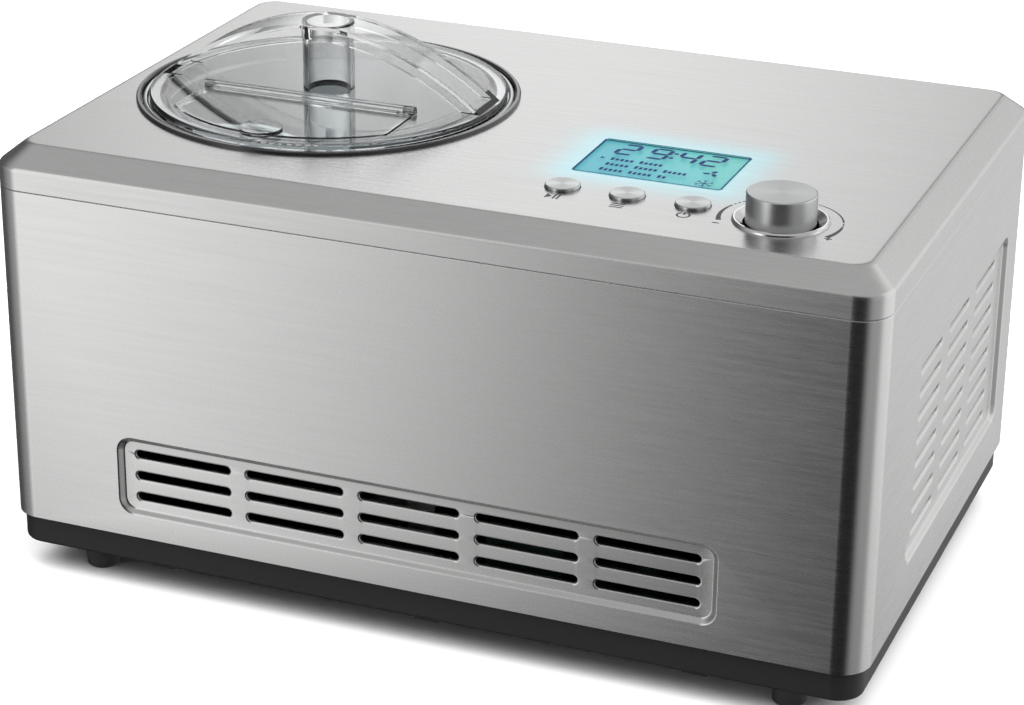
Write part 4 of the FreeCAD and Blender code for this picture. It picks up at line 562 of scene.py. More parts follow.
class Skin:
    """Gathers grids and flat fills into one mesh."""

    def __init__(self) -> None:
        """Starts with nothing."""
        self.points: list[np.ndarray] = []
        self.faces: list[list[int]] = []
        self.count = 0

    def _keep(self, points: np.ndarray) -> int:
        """Adds points and returns the index of the first."""
        first = self.count
        self.points.append(points.reshape(-1, 3))
        self.count += self.points[-1].shape[0]
        return first

    def grid(self, points: np.ndarray, closed: bool = True) -> None:
        """Adds the quads between neighbouring points of a grid.

        The outward side is the one that columns x rows points to.

        Args:
            points: Rows x columns x 3.
            closed: Whether the last column meets the first.
        """
        rows, columns = points.shape[:2]
        first = self._keep(points)
        index = first + np.arange(rows * columns).reshape(rows, columns)
        ahead = np.roll(index, -1, 1)
        if not closed:
            index, ahead = index[:, :-1], ahead[:, :-1]
        quads = np.stack([index[:-1], ahead[:-1], ahead[1:], index[1:]], -1)
        self.faces += quads.reshape(-1, 4).tolist()

    def fill(self, plane: Plane, depth: float, outer: np.ndarray, holes: Sequence[np.ndarray] = ()) -> None:
        """Adds the flat region inside one outline and outside the others.

        Args:
            plane: The plane that it is drawn on.
            depth: Its depth behind the plane.
            outer: The outline, convex.
            holes: The outlines that are left open.
        """
        rings = [outer, *holes]
        flat = np.concatenate(rings)
        starts = np.cumsum([0] + [len(ring) for ring in rings])
        edges = []
        for start, ring in zip(starts, rings):
            index = start + np.arange(len(ring))
            edges += np.stack([index, np.roll(index, -1)], 1).tolist()
        made = delaunay_2d_cdt([Vector(point) for point in flat.tolist()], edges, [], 0, 1e-7)
        flat = np.array([tuple(point) for point in made[0]])
        triangles = np.array(made[2])
        middles = flat[triangles].mean(1)
        keep = np.ones(len(triangles), bool)
        for ring in holes:
            keep &= ~inside(middles, ring)
        first = self._keep(plane.place(flat, np.full(len(flat), depth)))
        self.faces += (triangles[keep] + first).tolist()

    def rings(self, plane: Plane, rings: Sequence[np.ndarray], depths: Sequence[float]) -> None:
        """Adds the surface through outlines with equally many points, each at its own depth."""
        stack = np.stack(rings)
        depth = np.repeat(np.asarray(depths, float)[:, None], stack.shape[1], 1)
        self.grid(plane.place(stack, depth))

    def turn(self, profile: np.ndarray, centre: Pair, segments: int = 96) -> None:
        """Adds a surface of revolution: (r cos a, r sin a, z) over a whole turn.

        Args:
            profile: Points (r, z), in the order that leaves the outside on the right hand.
            centre: Where its upright axis stands.
            segments: Parts of the turn.
        """
        angle = np.linspace(0, 2 * np.pi, segments, endpoint=False)
        radius, height = profile[:, :1], profile[:, 1:]
        x = centre[0] + radius * np.cos(angle)
        y = centre[1] + radius * np.sin(angle)
        self.grid(np.stack([x, y, np.broadcast_to(height, x.shape)], -1))

    def mesh(self, name: str) -> bpy.types.Mesh:
        """Makes a mesh of all that has been gathered."""
        made = bpy.data.meshes.new(name)
        made.from_pydata(np.concatenate(self.points).tolist(), [], self.faces)
        return made

    def piece(self, name: str, body: str, finish: Finish, slot: str, wall: float = 0.0,
              crease_deg: float = 35.0) -> bpy.types.Object:
        """Makes the object, with doubles merged and faces smooth up to a crease angle.

        Args:
            name: Its name.
            body: The body that it rides on.
            finish: Its material.
            slot: Not used.
            wall: Thickness of its sheet, or 0 where the surface is closed or stays a sheet.
            crease_deg: Angle from which an edge stays sharp.

        Returns:
            The object, riding on its body.
        """
        mesh = self.mesh(name)
        work = bmesh.new()
        work.from_mesh(mesh)
        bmesh.ops.remove_doubles(work, verts=work.verts, dist=2e-6)
        bmesh.ops.dissolve_degenerate(work, edges=work.edges, dist=1e-6)
        work.to_mesh(mesh)
        work.free()
        mesh.polygons.foreach_set("use_smooth", np.ones(len(mesh.polygons), bool))
        mesh.set_sharp_from_angle(angle=math.radians(crease_deg))
        made = linked(name, mesh)
        if wall > 0:
            solidify = made.modifiers.new("wall", "SOLIDIFY")
            solidify.thickness = wall
            solidify.offset = -1.0
        weighted = made.modifiers.new("normals", "WEIGHTED_NORMAL")
        weighted.keep_sharp = True
        dress(made, finish)
        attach(made, body)
        log.info("%s: %d faces", name, len(mesh.polygons))
        return made


def linked(name: str, data: bpy.types.ID) -> bpy.types.Object:
    """Makes an object with that data and links it to the scene."""
    made = bpy.data.objects.new(name, data)
    bpy.context.scene.collection.objects.link(made)
    return made


def dress(piece: bpy.types.Object, finish: Finish) -> None:
    """Gives a piece one finish all over."""
    piece.data.materials.clear()
    piece.data.materials.append(finish.material())


def middle_of(node: str) -> Vector:
    """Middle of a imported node's box."""
    low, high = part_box(node)
    return (low + high) / 2


def pair(vector: Vector) -> Pair:
    """X and Y of a point."""
    return (vector.x, vector.y)


def seen_from_above(node: str) -> tuple[Pair, Pair]:
    """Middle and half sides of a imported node's box, in X and Y."""
    low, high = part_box(node)
    return pair((low + high) / 2), ((high.x - low.x) / 2, (high.y - low.y) / 2)


TOP = (0.0, 0.0, 1.0)
ALONG_X = (1.0, 0.0, 0.0)
ALONG_Y = (0.0, 1.0, 0.0)

STEEL = Brushed("brushed_steel_sheet", (0.63, 0.63, 0.625), 0.27, 1.0, anisotropic=0.65, grain_turn=0.25)


# ---- housing ---------------------------------------------------------------------------------
@dataclass
class Vent:
    """A pressed panel of slots in a sheet."""

    centre: Pair
    size: Pair
    slots: tuple[int, int]
    pitch: Pair
    slot_length: float
    slot_height: float = 0.0060
    throat: float = 0.0039
    lip_depth: float = 0.0024
    border: float = 0.0032
    corner: float = 0.0080
    depth: float = 0.0025

    def outline(self, inset: float = 0.0) -> np.ndarray:
        """Outline of the panel, drawn in by an inset."""
        half = (self.size[0] / 2 - inset, self.size[1] / 2 - inset)
        return rounded_ring(self.centre, half, self.corner - inset, 10)

    def slot(self, middle: Pair, inset: float) -> np.ndarray:
        """Outline of one slot with round ends."""
        half = (self.slot_length / 2 - inset, self.slot_height / 2 - inset)
        return rounded_ring(middle, half, half[1] - 1e-6, 7)

    def press(self, skin: Skin, plane: Plane) -> None:
        """Adds the panel: its sloped border, its floor and its slots.

        The border follows depth 3t^2 - 2t^3 of its full depth.  A lip is a quarter round that ends in
        a short straight throat.
        """
        share = np.linspace(0, 1, 9)
        eased = share ** 2 * (3 - 2 * share)
        skin.rings(plane, [self.outline(self.border * t) for t in share], self.depth * eased)
        gap = (self.slot_height - self.throat) / 2
        turn = np.linspace(0, np.pi / 2, 6)
        insets = np.append(gap * np.sin(turn), gap)
        depths = self.depth + np.append(gap * (1 - np.cos(turn)), self.lip_depth)
        columns, rows = ((np.arange(count) - (count - 1) / 2) * pitch + centre
                         for count, pitch, centre in zip(self.slots, self.pitch, self.centre))
        middles = [(u, v) for u in columns.tolist() for v in rows.tolist()]
        skin.fill(plane, self.depth, self.outline(self.border), [self.slot(m, 0.0) for m in middles])
        for middle in middles:
            skin.rings(plane, [self.slot(middle, inset) for inset in insets], depths)


@dataclass
class Shell:
    """Brushed wrap around the front, the sides and the rear corners."""

    sheet: float = 0.0008
    corner: float = 0.0150
    rear_return: float = 0.0290
    curl: float = 0.0007
    screw_hole: float = 0.0038
    countersink: Pair = (0.0010, 0.0009)
    front_vent: Vent = field(default_factory=lambda: Vent(
        (-0.0030, 0.0616), (0.2970, 0.0405), (5, 3), (0.0575, 0.0109), 0.0510))
    side_vent: Vent = field(default_factory=lambda: Vent(
        (0.0162, 0.1020), (0.1800, 0.1000), (3, 8), (0.0523, 0.0114), 0.0410,
        throat=0.0016, lip_depth=0.0040))

    def build(self) -> None:
        """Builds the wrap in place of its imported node."""
        low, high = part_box("body_shell")
        bottom, top = low.z, high.z - self.curl
        skin = Skin()
        reach_x, reach_y = high.x - self.corner, high.y - self.corner
        front = Plane((0.0, low.y, 0.0), ALONG_X, TOP)
        right = Plane((high.x, 0.0, 0.0), ALONG_Y, TOP)
        left = Plane((low.x, 0.0, 0.0), (0.0, -1.0, 0.0), TOP)
        back = Plane((0.0, high.y, 0.0), (-1.0, 0.0, 0.0), TOP)
        middle, half = (bottom + top) / 2, (top - bottom) / 2
        for plane, reach, vent in ((front, reach_x, self.front_vent), (right, reach_y, self.side_vent)):
            wall = rounded_ring((0.0, middle), (reach, half), 0.0, 0)
            skin.fill(plane, 0.0, wall, [vent.outline()])
            vent.press(skin, plane)
        skin.fill(left, 0.0, rounded_ring((0.0, middle), (reach_y, half), 0.0, 0))
        self._returns(skin, back, reach_x, middle, half)
        self._corners(skin, reach_x, reach_y, bottom, top)
        made = skin.piece("steel_wrap", "housing", STEEL, "steel_skin", self.sheet)
        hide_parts("body_shell")

    def _returns(self, skin: Skin, plane: Plane, reach: float, middle: float, half: float) -> None:
        """Adds the two flat returns at the back, with countersunk screw holes."""
        width = self.rear_return - self.corner
        screws_low, screws_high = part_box("rear_screws")
        inset = self.screw_hole
        narrowing, sink = self.countersink
        heights = (screws_low.z + inset, (screws_low.z + screws_high.z) / 2, screws_high.z - inset)
        for side in (-1.0, 1.0):
            u = side * (reach - width / 2)
            strip = rounded_ring((u, middle), (width / 2, half), 0.0, 0)
            rings = [[rounded_ring((u, z), (r, r), r, 5) for r in (inset, inset - narrowing)]
                     for z in heights]
            skin.fill(plane, 0.0, strip, [pair_of[0] for pair_of in rings])
            for pair_of in rings:
                skin.rings(plane, pair_of, (0.0, sink))

    def _corners(self, skin: Skin, reach_x: float, reach_y: float, bottom: float, top: float) -> None:
        """Adds four upright quarter rounds and the edge that curls in at the top."""
        turn = np.linspace(0, np.pi / 2, 25)
        for quarter, (sx, sy) in enumerate(((1, 1), (-1, 1), (-1, -1), (1, -1))):
            angle = turn + quarter * np.pi / 2
            x = sx * reach_x + self.corner * np.cos(angle)
            y = sy * reach_y + self.corner * np.sin(angle)
            skin.grid(np.stack([np.stack([x, y, np.full_like(x, z)], -1) for z in (bottom, top)]), False)
        share = np.linspace(0, np.pi / 2, 5)
        half = (reach_x + self.corner, reach_y + self.corner)
        rows = []
        for inset, rise in zip(self.curl * (1 - np.cos(share)), self.curl * np.sin(share)):
            ring = rounded_ring((0.0, 0.0), (half[0] - inset, half[1] - inset), self.corner - inset, 24)
            rows.append(np.column_stack([ring, np.full(len(ring), top + rise)]))
        skin.grid(np.stack(rows))


@dataclass
class TopCover:
    """Brushed cover: skirt, sloped border and flat top with its openings."""

    corner: float = 0.0150
    run: float = 0.0112
    skirt: float = 0.0107
    soft: float = 0.0016
    curl: float = 0.0006
    sheet: float = 0.0008
    rim: float = 0.0040
    collar_hole: float = 0.0918
    bezel_hole: float = 0.0190
    window_corner: float = 0.0025
    gap: float = 0.0003

    def build(self) -> None:
        """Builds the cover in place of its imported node."""
        low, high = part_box("top_cover")
        display, half = seen_from_above("display_window")
        finish = LitBrushed("brushed_steel_cover", STEEL.color, STEEL.roughness, 1.0,
                            centre=display, half=half)
        seam, shoulder, top = low.z, low.z + self.skirt, high.z
        line = rounded_profile(
            [(self.curl, seam), (0.0, seam), (0.0, shoulder), (self.run, top), (self.run + self.rim, top)],
            [self.curl * 0.95, self.soft, self.soft], 7)
        skin = Skin()
        board = Plane((0.0, 0.0, 0.0), ALONG_X, ALONG_Y)
        edges = [rounded_ring((0.0, 0.0), (high.x - inset, high.y - inset), self.corner - inset / 2, 20)
                 for inset in line[:, 0]]
        skin.rings(board, edges, -line[:, 1])
        holes = [self._hole(pair(middle_of("bowl_collar")), self.collar_hole, 36),
                 self._hole(pair(middle_of("knob_bezel")), self.bezel_hole, 16)]
        for name in BUTTONS:
            holes.append(self._hole(pair(middle_of(name)), BUTTON_RADIUS + self.gap, 10))
        window = (half[0] + self.gap / 2, half[1] + self.gap / 2)
        holes.append([rounded_ring(display, window, self.window_corner, 6)] * 2)
        skin.fill(board, -top, edges[-1], [ring for ring, _ in holes])
        for ring, lower in holes:
            skin.rings(board, [ring, lower], (-top, -top + self.sheet))
        made = skin.piece("steel_cover", "housing", finish, "steel_skin", self.sheet)
        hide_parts("top_cover")

    def _hole(self, centre: Pair, radius: float, steps: int) -> list[np.ndarray]:
        """Two equal circles, for the edge of a round hole."""
        return [rounded_ring(centre, (radius, radius), radius, steps)] * 2


BUTTONS = ("start_button", "menu_button", "power_button")
BUTTON_RADIUS = 0.0080

BLACK_PLASTIC = Moulded("black_moulded_plastic", (0.011, 0.011, 0.012), 0.45, specular=0.28, grain=1400.0)
BLACK_GLOSS = Moulded("black_gloss_plastic", (0.010, 0.010, 0.011), 0.16, coat=0.4, depth=0.000004)
RUBBER = Moulded("black_rubber", (0.022, 0.022, 0.022), 0.75)
SEAL_RUBBER = Moulded("red_seal_rubber", (0.28, 0.05, 0.04), 0.6)
GREY_PLASTIC = Moulded("grey_plastic", (0.30, 0.31, 0.32), 0.5)
ACETAL = Moulded("white_acetal", (0.82, 0.81, 0.76), 0.35)
ENAMEL = Moulded("black_enamel", (0.02, 0.02, 0.022), 0.3, coat=0.3, grain=500.0)
MILKY = Moulded("milky_plastic", (0.80, 0.82, 0.82), 0.3)
ZINC = Cloudy("zinc_plate", (0.62, 0.62, 0.58), 0.35, 1.0, stain=(0.5, 0.5, 0.42))
GALVANISED = Cloudy("galvanised_sheet", (0.60, 0.61, 0.62), 0.42, 1.0, size=90.0, stain=(0.45, 0.46, 0.48))
COPPER = Cloudy("drawn_copper", (0.80, 0.40, 0.25), 0.3, 1.0, stain=(0.35, 0.17, 0.12))
BRONZE = Cloudy("sintered_bronze", (0.62, 0.42, 0.20), 0.45, 1.0)
MACHINED = Cloudy("machined_steel", (0.58, 0.58, 0.59), 0.28, 1.0, size=200.0, stain=(0.45, 0.45, 0.46))
FERRITE = Cloudy("ferrite", (0.07, 0.07, 0.08), 0.6, 0.2)
LAMINATED = Cloudy("laminated_core", (0.30, 0.28, 0.26), 0.45, 0.8)
FIN_SHEET = Cloudy("fin_aluminium", (0.75, 0.76, 0.77), 0.35, 1.0, stain=(0.6, 0.6, 0.62))
FOAM = Foamed("cut_foam", (0.80, 0.70, 0.45), 0.9)
# Board near black, far darker than green solder mask: painted shade for the dark inside of the housing.
BOARD = Circuit("circuit_board", (0.004, 0.012, 0.008), 0.5, specular=0.2)
INK = Moulded("printed_ink", (0.02, 0.02, 0.022), 0.5, depth=0.0)
CRYSTAL = Moulded("dark_crystal", (0.006, 0.020, 0.075), 0.5, specular=0.1, depth=0.0)
CLEAR = Clear("clear_plastic", (0.98, 0.99, 0.99), 0.02, haze=0.02)
WINDOW = Pane("display_window_face", (0.10, 0.30, 0.34), 0.12, specular=0.1, opacity=0.05)

KEPT = {
    BLACK_PLASTIC: ("base_tray", "cord_gland", "control_carrier", "terminal_box", "fan_shroud"),
    BLACK_GLOSS: ("bowl_collar",),
    RUBBER: ("feet", "compressor_mounts"),
    SEAL_RUBBER: ("shaft_seal",),
    GREY_PLASTIC: ("gearbox_housing", "gearbox_cover", "fan_rotor"),
    ACETAL: ("output_gear", "intermediate_gear"),
    ENAMEL: ("compressor",),
    MILKY: ("mixing_paddle",),
    ZINC: ("foot_screws", "rear_screws", "gearbox_screws", "carrier_screws", "mount_nuts"),
    GALVANISED: ("drive_frame", "drive_motor", "condenser_end_plates"),
    COPPER: ("evaporator_coil", "condenser_tube", "filter_drier", "discharge_tube", "liquid_tube",
             "capillary_tube", "suction_tube"),
    BRONZE: ("shaft_bushings",),
    MACHINED: ("output_shaft", "intermediate_axle", "motor_shaft", "rotary_encoder",
               "encoder_shaft", "temperature_sensor"),
    FERRITE: ("motor_magnets",),
    LAMINATED: ("motor_armature", "fan_motor"),
    FIN_SHEET: ("condenser_fins",),
    FOAM: ("chamber_insulation",),
    BOARD: ("control_board", "power_board"),
    CLEAR: ("lid", "refill_hatch", "hatch_hinge_pin"),
    STEEL: ("rear_panel",),
    WINDOW: ("display_window",),
}


@dataclass
class Works:
    """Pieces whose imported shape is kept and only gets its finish."""

    def build(self) -> None:
        """Dresses the kept nodes."""
        for finish, nodes in KEPT.items():
            for node in nodes:
                dress(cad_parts[node], finish)
        axis = pair(middle_of("ice_cream_bowl"))
        spun = Turned("spun_aluminium", (0.60, 0.61, 0.62), 0.24, 1.0, centre=axis, pitch=1500.0)
        for node in ("ice_cream_bowl", "cooling_chamber"):
            dress(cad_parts[node], spun)


# ---- controls --------------------------------------------------------------------------------
BUTTON_METAL = Turned("button", (0.60, 0.61, 0.61), 0.28, 1.0, anisotropic=0.8, grain_turn=0.25)
KNOB_METAL = Turned("knob", (0.60, 0.605, 0.61), 0.36, 1.0, anisotropic=0.4, grain_turn=0.25)
BEZEL_METAL = Turned("bezel", (0.72, 0.72, 0.72), 0.12, 1.0, contrast=0.03)
TURNED = {**{name: BUTTON_METAL for name in BUTTONS}, "control_knob": KNOB_METAL, "knob_bezel": BEZEL_METAL}


def laid(outline: np.ndarray, centre: Pair, turn_deg: float = 0.0, lean: float = 0.0) -> np.ndarray:
    """Outline leaned over by u + lean v, then turned anticlockwise and moved to a centre.

    Args:
        outline: Points (u, v) around the origin.
        centre: Where the origin goes.
        turn_deg: The turn.
        lean: How far the top leans over, for each unit of height.

    Returns:
        The moved points.
    """
    leaned = outline + outline[:, 1:] * np.array([lean, 0.0])
    turn = math.radians(turn_deg)
    spin = np.array([[math.cos(turn), math.sin(turn)], [-math.sin(turn), math.cos(turn)]])
    return leaned @ spin + np.array(centre)


def bar(half: Pair) -> np.ndarray:
    """Rectangle around the origin."""
    return rounded_ring((0.0, 0.0), half, min(half) * 0.2, 1)


@dataclass
class Drawing:
    """Flat marks, gathered into one thin piece on a board that faces up."""

    board: Plane
    skin: Skin = field(default_factory=Skin)
    layer: float = 1e-7

    def mark(self, outline: np.ndarray, holes: Sequence[np.ndarray] = ()) -> None:
        """Adds a filled outline, a hair above the one before.

        Args:
            outline: The outline, convex.
            holes: The outlines that are left open.
        """
        self.skin.fill(self.board, -self.layer * len(self.skin.points), outline, holes)

    def arc(self, centre: Pair, radius: float, sweep_deg: Pair, widths: Pair, steps: int = 24) -> None:
        """Adds a band along an arc: (r cos a, r sin a), with r half of its width in or out.

        Args:
            centre: Middle of the arc.
            radius: Radius of its middle line.
            sweep_deg: Where it starts and ends, anticlockwise from +u.
            widths: Its width at the start and at the end.
            steps: Parts of the arc.
        """
        angle = np.radians(np.linspace(*sweep_deg, steps + 1))
        half = np.linspace(*widths, steps + 1) / 2
        rows = [np.stack([centre[0] + r * np.cos(angle), centre[1] + r * np.sin(angle)], -1)
                for r in (radius + half, radius - half)]
        self.skin.grid(self.board.place(np.stack(rows)), False)


SEGMENTS = {"a": (0.0, 1.0), "b": (1.0, 0.5), "c": (1.0, -0.5), "d": (0.0, -1.0), "e": (-1.0, -0.5),
            "f": (-1.0, 0.5), "g": (0.0, 0.0)}
LIT = {"2": "abdeg", "4": "bcfg", "9": "abcdfg"}


@dataclass
class Readout:
    """Dark marks of the display, on its window.

    Places in the display are shares of its width and depth, from its left rear corner.
    """

    lift: float = 0.00002
    digit: Pair = (0.0100, 0.0155)
    stroke: float = 0.0021
    lean: float = 0.11
    segment_gap: float = 0.15
    digits: tuple[tuple[str, float], ...] = (("2", 0.214), ("9", 0.426), ("4", 0.62), ("2", 0.79))
    digit_row: float = 0.2525
    colon: float = 0.52
    colon_reach: float = 0.2
    rows: tuple[tuple[float, float, float], ...] = (
        (0.16, 0.54, 0.56), (0.16, 0.72, 0.71), (0.155, 0.63, 0.864))
    letter: Pair = (0.0016, 0.0030)
    letter_pitch: float = 0.0023
    word: int = 6
    taller: float = 1.25
    pointer: Pair = (0.11, 0.555)
    pointer_size: tuple[float, float, float] = (0.0010, 0.0014, 0.0014)
    blades: Pair = (0.85, 0.59)
    blade: Pair = (0.0011, 0.0017)
    blade_out: float = 0.0022
    blade_lean: float = 0.3
    flake: Pair = (0.862, 0.874)
    flake_arm: Pair = (0.00028, 0.0021)
    flake_round: float = 0.0001
    flake_twig: Pair = (0.0002, 0.0011)
    twig_out: float = 0.0029
    twig_middle: float = 0.0009
    edge: float = 0.0002
    border: float = 0.0007
    corners: Pair = (0.0022, 0.0018)
    middle: tuple[float, float, float] = field(init=False)
    size: Pair = field(init=False)

    def __post_init__(self) -> None:
        """Takes the display's middle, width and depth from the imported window."""
        low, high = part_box("display_window")
        self.middle = ((low.x + high.x) / 2, (low.y + high.y) / 2, high.z)
        self.size = (high.x - low.x, high.y - low.y)

    def build(self) -> None:
        """Builds the marks."""
        x, y, z = self.middle
        drawing = Drawing(Plane((x, y, z + self.lift), ALONG_X, ALONG_Y))
        for figure, share in self.digits:
            self._digit(drawing, figure, self._spot(share, self.digit_row))
        self._colon(drawing)
        self._rows(drawing)
        self._icons(drawing)
        self._frame(drawing)
        drawing.skin.piece("display_marks", "housing", CRYSTAL, "display_body")

    def _spot(self, across: float, down: float) -> Pair:
        """Place in the display from its shares."""
        return ((across - 0.5) * self.size[0], (0.5 - down) * self.size[1])

    def _digit(self, drawing: Drawing, figure: str, centre: Pair) -> None:
        """Adds the lit segments of one figure: six-sided bars around a leaning frame."""
        wide, tall = (side - self.stroke for side in self.digit)
        tip = self.stroke / 2
        for name in LIT[figure]:
            column, row = SEGMENTS[name]
            reach = (tall / 4 if column else wide / 2) - tip * self.segment_gap
            shape = np.array([(reach, 0.0), (reach - tip, tip), (tip - reach, tip), (-reach, 0.0),
                              (tip - reach, -tip), (reach - tip, -tip)])
            middle = (column * wide / 2, row * tall / 2)
            segment = laid(shape, middle, 90.0 if column else 0.0)
            drawing.mark(laid(segment, centre, lean=self.lean))

    def _colon(self, drawing: Drawing) -> None:
        """Adds the two dots between the figures."""
        u, v = self._spot(self.colon, self.digit_row)
        dot = bar((self.stroke / 2, self.stroke / 2))
        for side in (-1.0, 1.0):
            away = side * self.digit[1] * self.colon_reach
            drawing.mark(laid(dot, (u + away * self.lean, v + away)))

    def _rows(self, drawing: Drawing) -> None:
        """Adds rows of plain blocks, with a gap between words."""
        for start, end, down in self.rows:
            count = int((end - start) * self.size[0] / self.letter_pitch)
            u, v = self._spot(start, down)
            for index in range(count):
                if index % self.word == self.word - 1:
                    continue
                taller = self.taller if index % self.word == 0 else 1.0
                half = (self.letter[0] / 2, self.letter[1] / 2 * taller)
                across = u + (index + 0.5) * self.letter_pitch
                drawing.mark(laid(bar(half), (across, v + half[1] - self.letter[1] / 2)))

    def _icons(self, drawing: Drawing) -> None:
        """Adds a pointer, three blades and a snowflake."""
        back, half, front = self.pointer_size
        triangle = np.array([(-back, -half), (front, 0.0), (-back, half)])
        drawing.mark(laid(triangle, self._spot(*self.pointer)))
        blade = rounded_ring((0.0, self.blade_out), self.blade, self.blade[0], 5)
        for turn in (0.0, 120.0, 240.0):
            drawing.mark(laid(blade, self._spot(*self.blades), turn, self.blade_lean))
        centre = self._spot(*self.flake)
        arm = rounded_ring((0.0, self.flake_arm[1]), self.flake_arm, self.flake_round, 2)
        twig = bar(self.flake_twig) + np.array([0.0, self.twig_middle])
        for turn in range(0, 360, 60):
            drawing.mark(laid(arm, centre, turn))
            fork = laid(np.array([(0.0, self.twig_out)]), centre, turn)[0]
            for side in (-45.0, 45.0):
                drawing.mark(laid(twig, tuple(fork), turn + side))

    def _frame(self, drawing: Drawing) -> None:
        """Adds the thin outline along the window's edge."""
        half = (self.size[0] / 2 - self.edge, self.size[1] / 2 - self.edge)
        inner = (half[0] - self.border, half[1] - self.border)
        outside, inside_edge = self.corners
        drawing.mark(rounded_ring((0.0, 0.0), half, outside, 6),
                     [rounded_ring((0.0, 0.0), inner, inside_edge, 6)])


@dataclass
class PrintedMarks:
    """Icons in front of the buttons, and the arcs and signs around the knob, on the steel.

    Sizes of an icon's parts are shares of its half width, and widths of an arc's ends are shares of the
    thin width.
    """

    lift: float = 0.00003
    icon_offset: float = 0.0135
    icon_half: float = 0.0028
    line: float = 0.0009
    start_bars: Pair = (0.45, 1.1)
    menu_line: Pair = (1.1, 0.75)
    power_ring_deg: Pair = (125.0, 415.0)
    power_bar: Pair = (0.55, 0.75)
    arc_radius: float = 0.0269
    arc_widths: Pair = (0.0024, 0.0007)
    left_arc_deg: Pair = (202.0, 158.0)
    left_dashes_deg: tuple[float, ...] = (154.0, 148.5, 143.0)
    right_arc_deg: Pair = (-27.6, 4.0)
    right_arc_end: float = 1.4
    right_dashes_deg: tuple[float, ...] = (7.0, 12.0)
    right_tail_deg: Pair = (16.0, 69.0)
    tail_ends: Pair = (1.2, 0.7)
    dash_half_deg: float = 1.5
    sign_place: Pair = (0.0250, -0.0140)
    sign_half: float = 0.0016

    def build(self) -> None:
        """Builds the marks."""
        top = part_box("top_cover")[1].z
        drawing = Drawing(Plane((0.0, 0.0, top + self.lift), ALONG_X, ALONG_Y))
        for name, draw in zip(BUTTONS, (self._start, self._menu, self._power)):
            draw(drawing, pair(middle_of(name) - Vector((0.0, self.icon_offset, 0.0))))
        self._knob(drawing, pair(middle_of("control_knob")))
        drawing.skin.piece("printed_marks", "housing", INK, "black_plastic")

    def _start(self, drawing: Drawing, centre: Pair) -> None:
        """A triangle and two bars."""
        reach = self.icon_half
        drawing.mark(laid(np.array([(-reach, -reach), (0.0, 0.0), (-reach, reach)]), centre))
        for offset in self.start_bars:
            drawing.mark(laid(bar((self.line / 2, reach)), (centre[0] + reach * offset, centre[1])))

    def _menu(self, drawing: Drawing, centre: Pair) -> None:
        """Three lines."""
        reach, pitch = self.menu_line
        for row in (-1.0, 0.0, 1.0):
            v = centre[1] + row * self.icon_half * pitch
            drawing.mark(laid(bar((self.icon_half * reach, self.line / 2)), (centre[0], v)))

    def _power(self, drawing: Drawing, centre: Pair) -> None:
        """An open ring and a bar."""
        reach, rise = self.power_bar
        drawing.arc(centre, self.icon_half, self.power_ring_deg, (self.line, self.line))
        stroke = bar((self.line / 2, self.icon_half * reach))
        drawing.mark(laid(stroke, (centre[0], centre[1] + self.icon_half * rise)))

    def _knob(self, drawing: Drawing, centre: Pair) -> None:
        """Two tapered arcs that end in dashes, a minus and a plus."""
        thick, thin = self.arc_widths
        half = self.dash_half_deg
        drawing.arc(centre, self.arc_radius, self.left_arc_deg, (thick, thin))
        drawing.arc(centre, self.arc_radius, self.right_arc_deg, (thick, thin * self.right_arc_end))
        for angle in self.left_dashes_deg:
            drawing.arc(centre, self.arc_radius, (angle + half, angle - half), (thin, thin), 3)
        for angle in self.right_dashes_deg:
            drawing.arc(centre, self.arc_radius, (angle - half, angle + half), (thin, thin), 3)
        tail = (thin * self.tail_ends[0], thin * self.tail_ends[1])
        drawing.arc(centre, self.arc_radius, self.right_tail_deg, tail)
        out, down = self.sign_place
        minus = (centre[0] - out, centre[1] + down)
        plus = (centre[0] + out, centre[1] + down)
        for spot in (minus, plus):
            drawing.mark(laid(bar((self.sign_half, self.line / 2)), spot))
        drawing.mark(laid(bar((self.line / 2, self.sign_half)), plus))


@dataclass
class Controls:
    """Display, buttons, knob and bezel."""

    def build(self) -> None:
        """Builds and dresses the controls."""
        centre, half = seen_from_above("display_window")
        dress(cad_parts["display_module"],
              Backlit("lit_display", (0.02, 0.05, 0.05), 0.4, centre=centre, half=half))
        for name, metal in TURNED.items():
            centred = replace(metal, name="turned_" + name, centre=pair(middle_of(name)))
            dress(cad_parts[name], centred)


# ---- studio ----------------------------------------------------------------------------------
def toward(azimuth_deg: float, elevation_deg: float) -> Color:
    """Unit vector in a direction; azimuth 0 is in front of the object and 90 to its right."""
    azimuth, elevation = math.radians(azimuth_deg), math.radians(elevation_deg)
    return (math.sin(azimuth) * math.cos(elevation), -math.cos(azimuth) * math.cos(elevation),
            math.sin(elevation))


